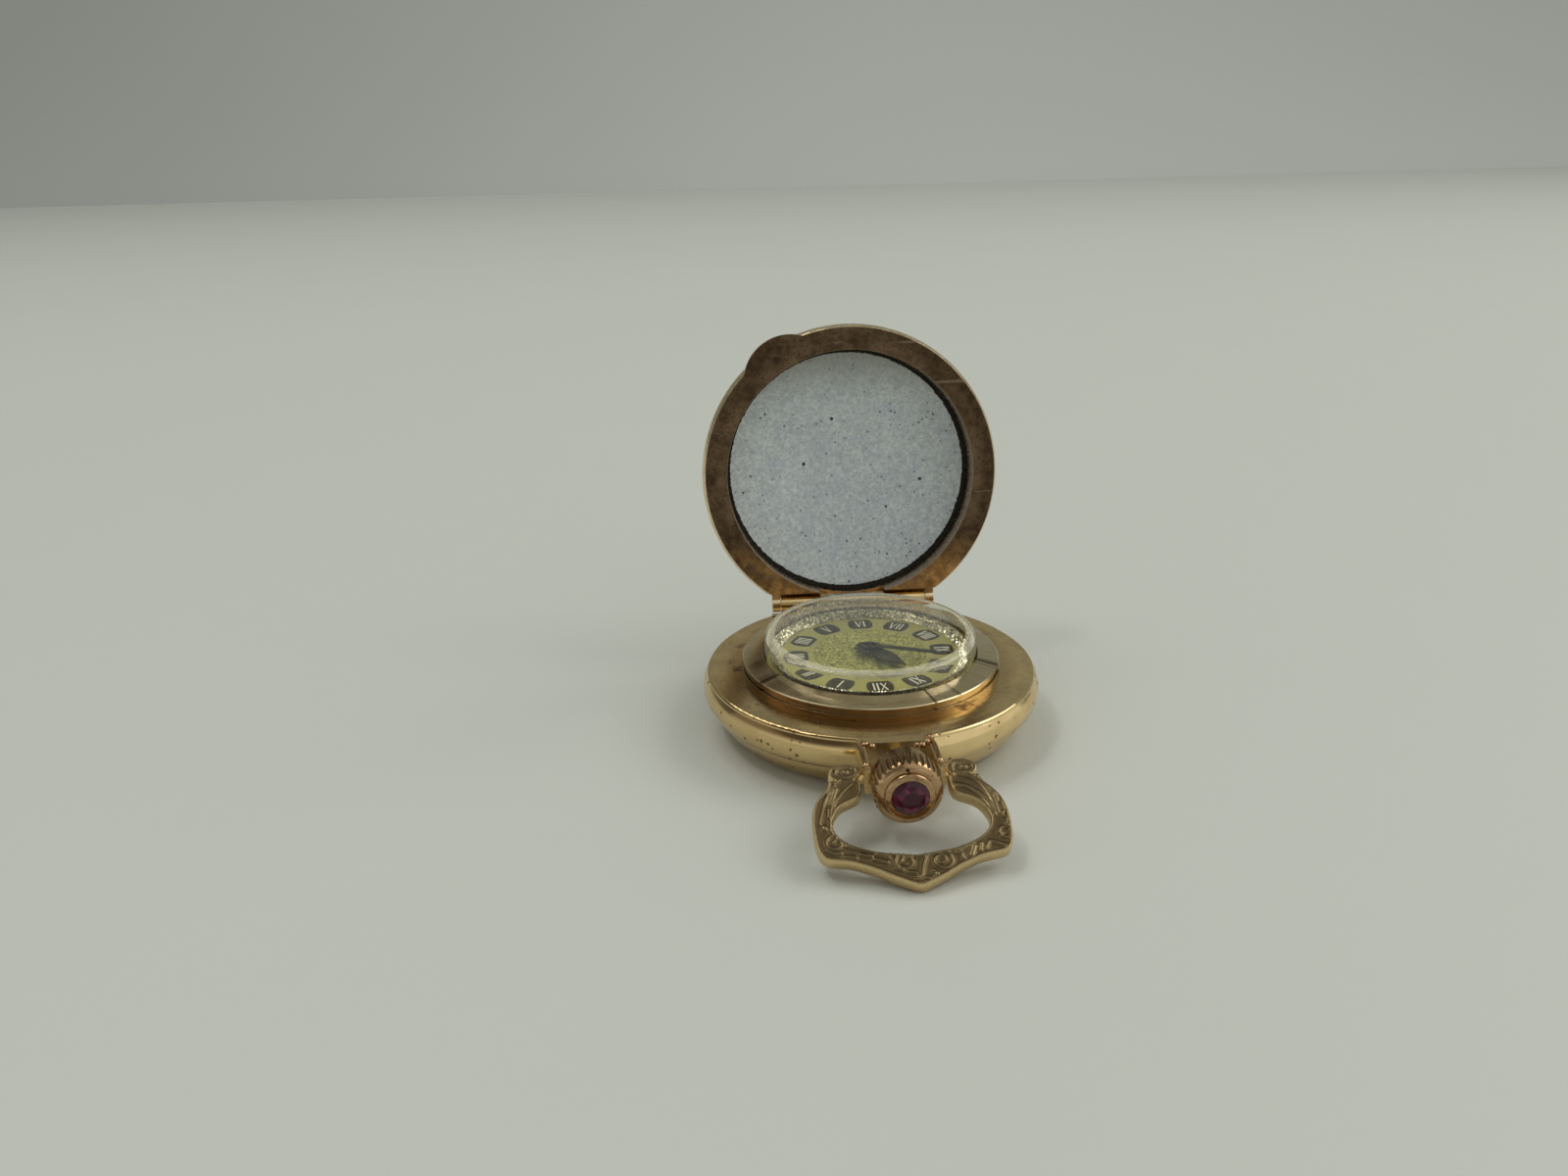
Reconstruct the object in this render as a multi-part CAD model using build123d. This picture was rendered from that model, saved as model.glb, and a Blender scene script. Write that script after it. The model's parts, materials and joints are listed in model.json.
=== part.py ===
from build123d import *
import math
import os

# Pendant watch with a hinged lid, a scrolled bow and a hand-wound movement.
# Millimetres. The watch lies on its back: +Z is up through the dial, 12 o'clock
# and the crown point to -Y, and the lid's hinge is at 6 o'clock, on +Y.
# The origin is the centre of the flat back, on the surface that the watch lies on.

# Clearances shared by all pieces
overrun = 1.0
slip_gap = 0.05
press_gap = 0.01
seat_gap = 0.02
pivot_gap = 0.02

# Crystal, which the bezel and the dial follow
crystal_foot_radius = 9.55
crystal_taper = 0.2
crystal_wall = 0.6
crystal_height = 2.46
crystal_edge_round = 0.3

# Bezel
bezel_face_width = 1.86
bezel_seat_step = 0.04
bezel_skirt = 0.45
bezel_skirt_width = 0.5
bezel_shoulder_step = 0.1
bezel_shoulder_height = 0.4
bezel_groove_depth = 0.3
bezel_groove_height = 0.2
bezel_edge_height = 0.38
bezel_bevel = 0.08
bezel_rise = 0.4
bezel_edge_radius = crystal_foot_radius + bezel_face_width
bezel_seat_radius = bezel_edge_radius + bezel_seat_step
bezel_shoulder_radius = bezel_seat_radius + bezel_shoulder_step

# Case
flange_width = 3.55
case_height = 5.45
belly_share = 0.7
seam_share = 0.44
seam_inset = 0.8
back_flat_inset = 2.2
back_bulge = 0.45
back_wall = 0.6
back_lip_height = 0.45
back_lip_width = 0.9
case_wall = 1.35
flange_thickness = 1.45
flange_edge_inset = 0.4
flange_edge_drop = 0.27
flange_flat_inset = 0.65
gasket_width = 0.5
gasket_height = 0.28
case_radius = bezel_seat_radius + flange_width
belly_height = belly_share * case_height
seam_height = seam_share * case_height
seam_radius = case_radius - seam_inset
back_flat_radius = seam_radius - back_flat_inset
cavity_radius = case_radius - case_wall - back_lip_width / 2
lip_radius = cavity_radius + back_lip_width / 2
flange_low = case_height - flange_thickness
bezel_low = case_height - bezel_skirt

# Dial and reflector
dial_inset = 0.25
dial_rise = 0.75
dial_thickness = 0.4
dial_hole_radius = 0.7
reflector_width = 0.55
reflector_height = 1.0
dial_radius = crystal_foot_radius - dial_inset
dial_top_height = case_height + dial_rise
dial_low = dial_top_height - dial_thickness
crystal_top_radius = crystal_foot_radius - crystal_taper
crystal_top_height = dial_top_height + crystal_height

# Hands
hand_thickness = 0.13
hand_gap = 0.2
minute_hand_share = 0.67
minute_hand_width = 0.34
minute_hand_tail = 1.1
minute_hand_turn = -21.6
hour_hand_share = 0.51
hour_hand_width = 1.5
hour_hand_neck_share = 0.3
hour_hand_widest_share = 0.5
hour_hand_turn = -55.3
hour_hub_radius = 1.15
hour_hub_points = 9
hour_hub_dip_share = 0.8
minute_hand_length = minute_hand_share * dial_radius
hour_hand_length = hour_hand_share * dial_radius

# Movement plate and its levels
plate_radius = 8.2
plate_thickness = 1.2
plate_rim_width = 0.6
motion_space = 0.5
movement_ring_gap = 0.06
ring_foot_gap = 0.082
arbor_radius = 0.16
pivot_radius = 0.08
jewel_radius = 0.3
jewel_height = 0.26
post_radius = 0.45
screw_shank_radius = 0.18
screw_head_radius = 0.36
screw_head_height = 0.16
screw_slot_width = 0.08
screw_slot_depth = 0.07
screw_reach = 0.4
wheel_thickness = 0.17
pinion_overhang = 0.05
level_gap = 0.07
plate_top = dial_low - motion_space
plate_low = plate_top - plate_thickness
level_one = plate_low - level_gap
level_two = level_one - wheel_thickness - level_gap
level_three = level_two - wheel_thickness - level_gap

# Bridges
barrel_bridge_thickness = 0.8
barrel_bridge_gap = 0.3
train_bridge_thickness = 0.47
train_bridge_gap = 0.88
pallet_bridge_thickness = 0.3
pallet_bridge_gap = 0.5
cock_thickness = 0.35
cock_gap = 1.0
winding_recess = 0.5
balance_clearance = 0.25
barrel_bridge_top = plate_low - barrel_bridge_gap
barrel_bridge_low = barrel_bridge_top - barrel_bridge_thickness
train_bridge_top = plate_low - train_bridge_gap
train_bridge_low = train_bridge_top - train_bridge_thickness
pallet_bridge_top = plate_low - pallet_bridge_gap
pallet_bridge_low = pallet_bridge_top - pallet_bridge_thickness
cock_top = plate_low - cock_gap
cock_low = cock_top - cock_thickness
recess_top = barrel_bridge_low + winding_recess

# Stem line and pendant
stem_rise = 0.5
stem_radius = 0.33
stem_gap = 0.04
tube_wall = 0.28
tube_in_crown = 1.7
collar_wall = 0.4
collar_gap = 0.1
collar_root = 0.6
collar_sleeve_length = 2.6
collar_cheek_length = 4.6
collar_mouth_rise = 0.15
collar_cheek_half = 0.95
collar_back_wall = 0.9
stem_height = plate_low + stem_rise
tube_radius = stem_radius + stem_gap + tube_wall

# Crown
crown_radius = 2.64
crown_stand_off = 3.5
crown_length = 3.3
crown_neck_radius = 2.3
crown_neck_length = 1.2
crown_fluted_length = 1.4
crown_front_radius = 1.92
crown_bevel = 0.15
crown_flutes = 32
flute_radius = 0.16
crown_bore_radius = 0.95
crown_bore_length = 2.0
crown_travel = 0.8
setting_plug_radius = 1.46
setting_plug_length = 0.9
setting_ring_height = 0.35
setting_ring_round = 0.2
stone_radius = 1.41
stone_depth = 0.5
stone_dome = 0.42
seal_inset = 0.3
seal_length = 0.35
crown_start = case_radius + crown_stand_off
crown_dome_end = crown_start + crown_length
tube_outer_reach = crown_start + tube_in_crown
seal_start = crown_start + seal_inset
collar_start = case_radius - collar_root
collar_sleeve_end = case_radius + collar_sleeve_length
collar_cheek_end = case_radius + collar_cheek_length
collar_inner = crown_radius + collar_gap
collar_outer = collar_inner + collar_wall

# Bow
bow_pivot_out = 3.6
bow_pivot_drop = 0.25
bow_thickness = 1.15
bow_floor_gap = 0.02
bow_side_gap = 0.12
bow_half_width = 7.3
bow_tip_length = 9.75
bow_pin_radius = 0.38
bow_pin_depth = 1.6
bow_pin_gap = 0.04
volute_half_width = 1.22
volute_half_length = 0.85
volute_set_back = 0.28
bow_pivot_reach = case_radius + bow_pivot_out
bow_pivot_height = stem_height - bow_pivot_drop
bow_drop = math.degrees(
    math.asin((bow_pivot_height - bow_floor_gap) / math.hypot(bow_tip_length, bow_thickness / 2))
    - math.atan2(bow_thickness / 2, bow_tip_length)
)

# The bow's outline, as shares of its half width and of its length to the tip
bow_outer_shares = (
    (0.79, 0.04), (0.81, 0.10), (0.90, 0.185), (0.973, 0.29), (1.0, 0.43), (0.993, 0.55),
    (0.973, 0.655), (0.918, 0.73), (0.822, 0.757), (0.658, 0.78), (0.52, 0.82), (0.37, 0.872),
    (0.288, 0.908), (0.178, 0.95), (0.09, 0.982), (0.0, 1.0),
)
bow_inner_shares = (
    (0.462, 0.04), (0.462, 0.13), (0.49, 0.195), (0.575, 0.236), (0.70, 0.287), (0.767, 0.36),
    (0.80, 0.446), (0.767, 0.533), (0.67, 0.608), (0.52, 0.665), (0.356, 0.703), (0.164, 0.724),
    (0.0, 0.738),
)

# Hinge, set in from the edge of the case
hinge_inset = 2.38
hinge_rise = 0.985
knuckle_radius = 0.8
hinge_pin_radius = 0.35
hinge_pin_gap = 0.03
hinge_half_length = 8.0
lid_ear_length = 0.8
lid_mid_half_length = 2.4
knuckle_end_gap = 0.06
hinge_pocket_depth = 1.12
hinge_pocket_gap = 0.17
lid_back_overhang = 0.83
case_notch_inset = 0.62
case_notch_depth = 1.05
hinge_block_width = 1.4
hinge_block_height = 0.72
knuckle_neck_half = 0.6
hinge_reach = case_radius - hinge_inset
hinge_height = case_height + hinge_rise
hinge_pocket_reach = hinge_reach - hinge_pocket_depth
lid_back_reach = hinge_reach + lid_back_overhang
case_notch_reach = hinge_reach - case_notch_inset

# Lid, in its closed place over the bezel
lid_seat_gap = 0.055
lid_face_inset = 0.97
lid_face_width = 2.11
lid_belly_bulge = 0.3
lid_belly_rise = 1.1
lid_shoulder_inset = 0.13
lid_shoulder_rise = 2.4
lid_crown_inset = 1.43
lid_crown_rise = 3.5
lid_lip_inset = 3.03
lid_lip_rise = 4.15
enamel_edge_gap = 0.27
enamel_rise = 3.2
enamel_sag = 1.36
enamel_thickness = 0.6
retainer_height = 0.3
tab_radius = 4.5
tab_stand_out = 1.07
tab_turn = 31.5
tab_thickness = 0.95
lid_open_turn = 98.7
lid_face_height = case_height + lid_seat_gap
lid_face_radius = case_radius - lid_face_inset
lid_well_radius = lid_face_radius - lid_face_width
lid_belly_radius = lid_face_radius + lid_belly_bulge
lid_shoulder_radius = lid_face_radius - lid_shoulder_inset
lid_crown_radius = lid_face_radius - lid_crown_inset
lid_lip_radius = lid_face_radius - lid_lip_inset
enamel_radius = lid_well_radius - enamel_edge_gap
tab_reach = lid_face_radius + tab_stand_out

# Tooth form, as shares of the module and of the tooth pitch
tip_share = 0.75
root_share = 1.15
tooth_root_share = 0.26
tooth_tip_share = 0.10

# Barrel and winding work, with places and pitch radii as shares of the plate's radius
barrel_place_shares = (-0.4268, -0.2622)
barrel_pitch_share = 0.4268
barrel_teeth = 72
barrel_gap = 0.05
barrel_height = 0.95
barrel_body_inset = 0.25
barrel_wall = 0.2
barrel_floor = 0.13
barrel_cover_height = 0.1
barrel_tooth_lift = 0.25
barrel_tooth_height = 0.3
barrel_arbor_radius = 0.55
barrel_pivot_radius = 0.3
mainspring_thickness = 0.08
mainspring_turns = 9
crown_wheel_place_share = -0.5549
crown_wheel_pitch_share = 0.2317
crown_wheel_teeth = 30
ratchet_teeth = 37
winding_wheel_height = 0.28
winding_wheel_gap = 0.02
winding_pinion_teeth = 18
winding_pinion_depth = 0.04
winding_pinion_share = 0.7732
winding_pinion_length_share = 0.0561
winding_slot_gap = 0.08
clutch_radius = 0.8
clutch_start_share = 0.6537
clutch_length_share = 0.1098
clutch_groove_depth = 0.25
clutch_groove_width = 0.3
clutch_teeth = 10
clutch_tooth_height = 0.12
clutch_tooth_width = 0.12
clutch_travel = 0.5
stem_square = 0.44
stem_square_share = 0.5976
stem_tail_radius = 0.17
stem_tail_share = 0.5
stem_groove_share = 0.8598
stem_groove_width = 0.3
stem_groove_depth = 0.13
click_place_shares = (-0.7988, -0.0549)
click_radius = 0.3
click_thickness = 0.22
click_width = 0.3
click_tooth_gap = 0.05
click_spring_turn = 100.0
barrel_low = level_one + barrel_gap
barrel_high = barrel_low + barrel_height
winding_wheel_top = recess_top - winding_wheel_gap
winding_wheel_low = winding_wheel_top - winding_wheel_height
winding_pinion_radius = stem_height - winding_wheel_top + winding_pinion_depth
winding_pinion_start = winding_pinion_share * plate_radius
winding_pinion_length = winding_pinion_length_share * plate_radius
clutch_start = clutch_start_share * plate_radius
clutch_length = clutch_length_share * plate_radius
stem_square_end = stem_square_share * plate_radius
stem_tail_end = stem_tail_share * plate_radius
stem_groove_at = stem_groove_share * plate_radius

# Going train
centre_pitch_share = 0.3537
centre_teeth = 80
centre_pinion_teeth = 12
third_pitch_share = 0.2744
third_teeth = 75
third_turn = 80.0
fourth_pitch_share = 0.2439
fourth_teeth = 80
fourth_turn = -15.0
train_pinion_teeth = 10
escape_pinion_teeth = 8
escape_turn = -60.0
escape_teeth = 15
escape_share = 0.1341
escape_root_share = 0.73
balance_place_shares = (0.561, -0.4146)
balance_share = 0.2683
balance_rim_width = 0.32
balance_rim_height = 0.3
balance_rim_lift = 0.5
fork_share_of_gap = 0.36
fork_width = 0.2
fork_arm_spread_share = 0.77
fork_arm_reach_share = 0.38
fork_roller_gap = 0.5
pallet_gap = 0.12
roller_radius = 0.42
roller_height = 0.08
roller_pin_orbit = 0.33
roller_pin_radius = 0.045
hairspring_inner_radius = 0.32
hairspring_outer_share = 0.52
hairspring_thickness = 0.035
hairspring_height = 0.12
hairspring_turns = 9
regulator_ring_radius = 0.85
regulator_ring_width = 0.22
regulator_length = 1.9
regulator_thickness = 0.18
centre_pitch_radius = centre_pitch_share * plate_radius
third_pitch_radius = third_pitch_share * plate_radius
fourth_pitch_radius = fourth_pitch_share * plate_radius
escape_radius = escape_share * plate_radius
escape_root_radius = escape_root_share * escape_radius
balance_radius = balance_share * plate_radius
hairspring_outer_radius = hairspring_outer_share * balance_radius
fork_arm_spread = fork_arm_spread_share * escape_radius
fork_arm_reach = fork_arm_reach_share * escape_radius

# Motion work under the dial
motion_gap = 0.04
motion_wheel_height = 0.12
cannon_teeth = 12
cannon_pitch_share = 0.0512
cannon_pipe_radius = 0.34
centre_post_radius = 0.2
minute_wheel_teeth = 36
minute_pinion_teeth = 10
hour_wheel_teeth = 40
hour_pipe_radius = 0.56
setting_wheel_teeth = 30
motion_stud_radius = 0.2
cannon_pitch_radius = cannon_pitch_share * plate_radius

# Keyless levers under the dial
lever_height = 0.14
lever_pin_radius = 0.11
setting_lever_share = 0.2927
setting_lever_width = 0.45
yoke_share = 0.3171
yoke_width = 0.4
spring_strip_width = 0.14
setting_lever_reach = setting_lever_share * plate_radius
yoke_reach = yoke_share * plate_radius
lever_low = plate_top + motion_gap

# Screws through the bridges, as shares of the plate's radius
barrel_bridge_post_shares = ((-0.9024, 0.0), (-0.2683, -0.8537), (0.3293, -0.8537))
train_bridge_post_shares = ((-0.3171, 0.8415), (0.3171, 0.8537), (0.8049, 0.4512))
pallet_bridge_post_shares = ((0.7256, -0.061),)
cock_post_shares = ((0.8841, -0.1402),)

# Bridge outlines, as shares of the plate's radius
barrel_bridge_shares = (
    (-1.0, 0.08), (0.16, 0.08), (0.27, -0.06), (0.27, -0.5), (0.4, -0.72), (0.4, -1.0), (-1.0, -1.0),
)
train_bridge_shares = (
    (-0.44, 0.11), (0.2, 0.11), (0.3, -0.02), (1.0, -0.02), (1.0, 1.0), (-0.44, 1.0),
)


def toward(start, angle, distance):
    turn = math.radians(angle)
    return (start[0] + distance * math.cos(turn), start[1] + distance * math.sin(turn))


def gap_between(first, second):
    return math.hypot(second[0] - first[0], second[1] - first[1])


def bearing(first, second):
    return math.degrees(math.atan2(second[1] - first[1], second[0] - first[0]))


def on_plate(shares):
    """Places on the plate from their shares of its radius."""
    return tuple((x * plate_radius, y * plate_radius) for x, y in shares)


# Pitch radii and places of the train, each in mesh with the one before
centre_at = (0.0, 0.0)
barrel_at, balance_at, click_pivot_at = on_plate((barrel_place_shares, balance_place_shares, click_place_shares))
crown_wheel_at = (0.0, crown_wheel_place_share * plate_radius)
barrel_bridge_posts = on_plate(barrel_bridge_post_shares)
train_bridge_posts = on_plate(train_bridge_post_shares)
pallet_bridge_posts = on_plate(pallet_bridge_post_shares)
cock_posts = on_plate(cock_post_shares)
barrel_pitch_radius = barrel_pitch_share * plate_radius
crown_wheel_pitch_radius = crown_wheel_pitch_share * plate_radius
centre_pinion_radius = gap_between(centre_at, barrel_at) - barrel_pitch_radius
third_pinion_radius = centre_pitch_radius * train_pinion_teeth / centre_teeth
fourth_pinion_radius = third_pitch_radius * train_pinion_teeth / third_teeth
escape_pinion_radius = fourth_pitch_radius * escape_pinion_teeth / fourth_teeth
ratchet_pitch_radius = gap_between(crown_wheel_at, barrel_at) - crown_wheel_pitch_radius
third_at = toward(centre_at, third_turn, centre_pitch_radius + third_pinion_radius)
fourth_at = toward(third_at, fourth_turn, third_pitch_radius + fourth_pinion_radius)
escape_at = toward(fourth_at, escape_turn, fourth_pitch_radius + escape_pinion_radius)
fork_turn = bearing(escape_at, balance_at)
fork_at = toward(escape_at, fork_turn, fork_share_of_gap * gap_between(escape_at, balance_at))
minute_wheel_radius = cannon_pitch_radius * minute_wheel_teeth / cannon_teeth
motion_centres = cannon_pitch_radius + minute_wheel_radius
minute_pinion_radius = motion_centres * minute_pinion_teeth / (minute_pinion_teeth + hour_wheel_teeth)
hour_wheel_radius = motion_centres - minute_pinion_radius
setting_wheel_radius = minute_wheel_radius * setting_wheel_teeth / minute_wheel_teeth
minute_wheel_at = (0.0, -motion_centres)
setting_wheel_at = (0.0, -motion_centres - minute_wheel_radius - setting_wheel_radius)

STANDING = (Align.CENTER, Align.CENTER, Align.MIN)
FROM_CORNER = (Align.MIN, Align.MIN, Align.MIN)


# Basic shapes
def disc(radius, low, high, at=(0, 0)):
    return Pos(at[0], at[1], low) * Cylinder(radius, high - low, align=STANDING)


def ring(outer, inner, low, high, at=(0, 0)):
    return disc(outer, low, high, at) - disc(inner, low - overrun, high + overrun, at)


def block(x_span, y_span, z_span):
    size = (x_span[1] - x_span[0], y_span[1] - y_span[0], z_span[1] - z_span[0])
    return Pos(x_span[0], y_span[0], z_span[0]) * Box(*size, align=FROM_CORNER)


def rod_along_x(radius, x_low, x_high, y, z):
    return Pos(x_low, y, z) * Rot(0, 90, 0) * Cylinder(radius, x_high - x_low, align=STANDING)


def prism(points, low, high):
    outline = make_face(Polyline(*points, close=True))
    return Pos(0, 0, low) * extrude(outline, high - low)


def turned(*edges):
    return revolve(Plane.XZ * make_face(edges), Axis.Z)


def turned_outline(points):
    return turned(Polyline(*points, close=True))


def on_stem(shape):
    """Turn a shape that stands on +Z so that it points along the stem, to -Y."""
    return Pos(0, 0, stem_height) * Rot(90, 0, 0) * shape


def link(start, end, width, low, high):
    """A flat bar with round ends from one point of the plate to another."""
    length = gap_between(start, end)
    bar = Pos(start[0], start[1], low) * Rot(0, 0, bearing(start, end)) * Box(
        length, width, high - low, align=(Align.MIN, Align.CENTER, Align.MIN)
    )
    return bar + disc(width / 2, low, high, start) + disc(width / 2, low, high, end)


# Gears
def tooth_points(teeth, pitch_radius, phase):
    module = 2 * pitch_radius / teeth
    tip = pitch_radius + tip_share * module
    root = pitch_radius - root_share * module
    pitch = 360 / teeth
    points = []
    for tooth in range(teeth):
        middle = phase + tooth * pitch
        points.append(toward((0, 0), middle - tooth_root_share * pitch, root))
        points.append(toward((0, 0), middle - tooth_tip_share * pitch, tip))
        points.append(toward((0, 0), middle + tooth_tip_share * pitch, tip))
        points.append(toward((0, 0), middle + tooth_root_share * pitch, root))
    return points


def gear(teeth, pitch_radius, low, high, at=(0, 0), phase=0.0):
    return Pos(at[0], at[1], 0) * prism(tooth_points(teeth, pitch_radius, phase), low, high)


def armed_wheel(teeth, pitch_radius, low, high, at, phase, hub_radius, arm_width, arms=4):
    """A toothed wheel whose rim is carried on a hub by straight arms."""
    rim_inner = pitch_radius - 2 * root_share * (2 * pitch_radius / teeth) - arm_width
    window = disc(rim_inner, low - overrun, high + overrun) - disc(hub_radius, low - overrun, high + overrun)
    for arm in range(arms):
        window -= link((0, 0), toward((0, 0), 360 * arm / arms, pitch_radius), arm_width, low, high)
    return gear(teeth, pitch_radius, low, high, at, phase) - Pos(at[0], at[1], 0) * window


def meshing_phase(phase, teeth, other_teeth, direction):
    """The other gear's phase that puts its gap on this gear's tooth along the line of centres."""
    share_of_pitch = ((direction - phase) * teeth / 360) % 1
    gap = direction + 180 + share_of_pitch * 360 / other_teeth
    return gap + 180 / other_teeth


def spiral_band(inner, outer, turns, thickness, low, high, at):
    """A flat coiled spring, from its inner end to its outer end."""
    steps = turns * 12
    inside = []
    outside = []
    for step in range(steps + 1):
        radius = inner + (outer - inner) * step / steps
        inside.append(toward((0, 0), 360 * turns * step / steps, radius))
        outside.append(toward((0, 0), 360 * turns * step / steps, radius + thickness))
    near = Spline(*inside)
    far = Spline(*outside)
    outline = make_face([near, far, Line(inside[0], outside[0]), Line(inside[-1], outside[-1])])
    return Pos(at[0], at[1], low) * extrude(outline, high - low)


# Case
def case_envelope():
    """The outer form of the case from the flat back to the flange."""
    rim = case_radius - flange_edge_inset
    return turned(
        Line((0, 0), (back_flat_radius, 0)),
        back_curve(),
        ThreePointArc((seam_radius, seam_height), (case_radius, belly_height),
                      (rim, case_height - flange_edge_drop)),
        flange_round(),
        Line((case_radius - flange_flat_inset, case_height), (0, case_height)),
        Line((0, case_height), (0, 0)),
    )


def back_curve():
    middle = ((back_flat_radius + seam_radius) / 2 + back_bulge / 2, seam_height / 2 - back_bulge / 2)
    return ThreePointArc((back_flat_radius, 0), middle, (seam_radius, seam_height))


def flange_round():
    rim = case_radius - flange_edge_inset
    flat = case_radius - flange_flat_inset
    start = (rim, case_height - flange_edge_drop)
    end = (flat, case_height)
    middle = ((start[0] + end[0]) / 2 + flange_edge_drop / 4, (start[1] + end[1]) / 2 + flange_edge_drop / 4)
    return ThreePointArc(start, middle, end)


def make_case_body():
    shell = case_envelope() - disc(case_radius + overrun, -overrun, seam_height)
    shell -= disc(lip_radius + seat_gap, seam_height - overrun, seam_height + back_lip_height + gasket_height)
    shell -= disc(cavity_radius, seam_height - overrun, flange_low)
    shell -= disc(bezel_seat_radius, flange_low - overrun, case_height + overrun)
    notch_low = case_height - case_notch_depth
    shell -= block((-case_radius, case_radius), (case_notch_reach, case_radius + overrun),
                   (notch_low, case_height + overrun))
    tube_hole = on_stem(disc(tube_radius, 0, case_radius + overrun))
    return shell - tube_hole


def make_case_back():
    bowl = case_envelope() - disc(case_radius + overrun, seam_height, case_height + overrun)
    bowl += ring(lip_radius, lip_radius - back_lip_width, seam_height - back_wall,
                 seam_height + back_lip_height)
    inside_flat = back_flat_radius - back_wall
    inside_rim = lip_radius - back_lip_width
    hollow = turned_outline((
        (0, back_wall), (inside_flat, back_wall), (inside_rim, seam_height - back_wall),
        (inside_rim, case_height), (0, case_height),
    ))
    return bowl - hollow


def make_back_gasket():
    low = seam_height + back_lip_height + seat_gap
    high = seam_height + back_lip_height + gasket_height - seat_gap
    return ring(lip_radius, lip_radius - gasket_width, low, high)


def make_bezel():
    shoulder_top = case_height + bezel_shoulder_height
    groove_radius = bezel_shoulder_radius - bezel_groove_depth
    edge_low = shoulder_top + bezel_groove_height
    edge_high = edge_low + bezel_edge_height
    bore = crystal_foot_radius + seat_gap
    skirt = bezel_seat_radius - press_gap
    return turned_outline((
        (skirt - bezel_skirt_width, bezel_low), (skirt, bezel_low), (skirt, case_height),
        (bezel_shoulder_radius, case_height), (bezel_shoulder_radius, shoulder_top),
        (groove_radius, shoulder_top), (groove_radius, edge_low), (bezel_edge_radius, edge_low),
        (bezel_edge_radius, edge_high), (bezel_edge_radius - bezel_bevel, edge_high + bezel_bevel),
        (bore, edge_high + bezel_rise), (bore, dial_low), (skirt - bezel_skirt_width, dial_low),
    ))


def make_crystal():
    foot_low = dial_top_height + seat_gap
    inner_top = crystal_top_height - crystal_wall
    rounded = crystal_top_radius - crystal_edge_round
    side_high = crystal_top_height - crystal_edge_round
    corner = crystal_edge_round * math.cos(math.radians(45))
    return turned(
        Line((crystal_foot_radius - crystal_wall, foot_low), (crystal_foot_radius, foot_low)),
        Line((crystal_foot_radius, foot_low), (crystal_top_radius, side_high)),
        ThreePointArc((crystal_top_radius, side_high), (rounded + corner, side_high + corner),
                      (rounded, crystal_top_height)),
        Line((rounded, crystal_top_height), (0, crystal_top_height)),
        Line((0, crystal_top_height), (0, inner_top)),
        Line((0, inner_top), (crystal_top_radius - crystal_wall, inner_top)),
        Line((crystal_top_radius - crystal_wall, inner_top), (crystal_foot_radius - crystal_wall, foot_low)),
    )


def make_reflector_ring():
    low = dial_top_height + seat_gap
    outer = crystal_foot_radius - crystal_wall - slip_gap
    top_outer = outer - (crystal_foot_radius - crystal_top_radius)
    return turned_outline((
        (outer - reflector_width, low), (outer, low), (top_outer, low + reflector_height),
        (top_outer - reflector_width / 3, low + reflector_height),
    ))


def make_pendant_tube():
    length = tube_outer_reach - bezel_seat_radius
    tube = disc(tube_radius - press_gap, bezel_seat_radius, bezel_seat_radius + length)
    return on_stem(tube - disc(stem_radius + stem_gap, 0, tube_outer_reach + overrun))


def make_pendant_collar():
    sleeve = disc(collar_outer, collar_start, collar_cheek_end)
    sleeve -= disc(collar_inner, collar_start + collar_back_wall, collar_cheek_end + overrun)
    sleeve -= disc(tube_radius, 0, collar_cheek_end)
    mouth_low = case_height + collar_mouth_rise - stem_height
    sleeve -= block((-collar_outer - overrun, collar_outer + overrun), (mouth_low, collar_outer + overrun),
                    (collar_start - overrun, collar_cheek_end + overrun))
    ends = block((-collar_outer, collar_outer), (collar_cheek_half, collar_outer + overrun),
                 (collar_sleeve_end, collar_cheek_end + overrun))
    ends += block((-collar_outer, collar_outer), (-collar_outer - overrun, -collar_cheek_half),
                  (collar_sleeve_end, collar_cheek_end + overrun))
    sleeve -= ends
    placed = on_stem(sleeve) - case_envelope()
    for side in (-1, 1):
        placed -= rod_along_x(bow_pin_radius, min(0, side * collar_outer) - overrun * (side < 0),
                              max(0, side * collar_outer) + overrun * (side > 0),
                              -bow_pivot_reach, bow_pivot_height)
    return placed.solids().sort_by(SortBy.VOLUME)[-1]


def make_bow_pins():
    pins = []
    for side in (-1, 1):
        near = side * (collar_inner + seat_gap)
        far = side * (collar_outer + bow_pin_depth)
        pins.append(rod_along_x(bow_pin_radius - press_gap, min(near, far), max(near, far),
                                -bow_pivot_reach, bow_pivot_height))
    return Compound(children=pins)


# Hinge
def hinge_rod(radius, x_low, x_high):
    return rod_along_x(radius, x_low, x_high, hinge_reach, hinge_height)


def make_case_hinge_knuckles():
    notch_low = case_height - case_notch_depth
    block_low = notch_low
    block_high = block_low + hinge_block_height
    base = block((-hinge_half_length, hinge_half_length),
                 (case_notch_reach, case_notch_reach + hinge_block_width), (block_low, block_high))
    start = lid_mid_half_length + knuckle_end_gap
    end = hinge_half_length - lid_ear_length - knuckle_end_gap
    bore = hinge_rod(hinge_pin_radius, -hinge_half_length - overrun, hinge_half_length + overrun)
    for side in (-1, 1):
        span = (min(side * start, side * end), max(side * start, side * end))
        base += hinge_rod(knuckle_radius, *span)
        base += block(span, (hinge_reach - knuckle_neck_half, hinge_reach + knuckle_neck_half),
                      (block_low, hinge_height))
    return base - bore


def make_hinge_pin():
    return hinge_rod(hinge_pin_radius - press_gap, -hinge_half_length, hinge_half_length)


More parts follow.
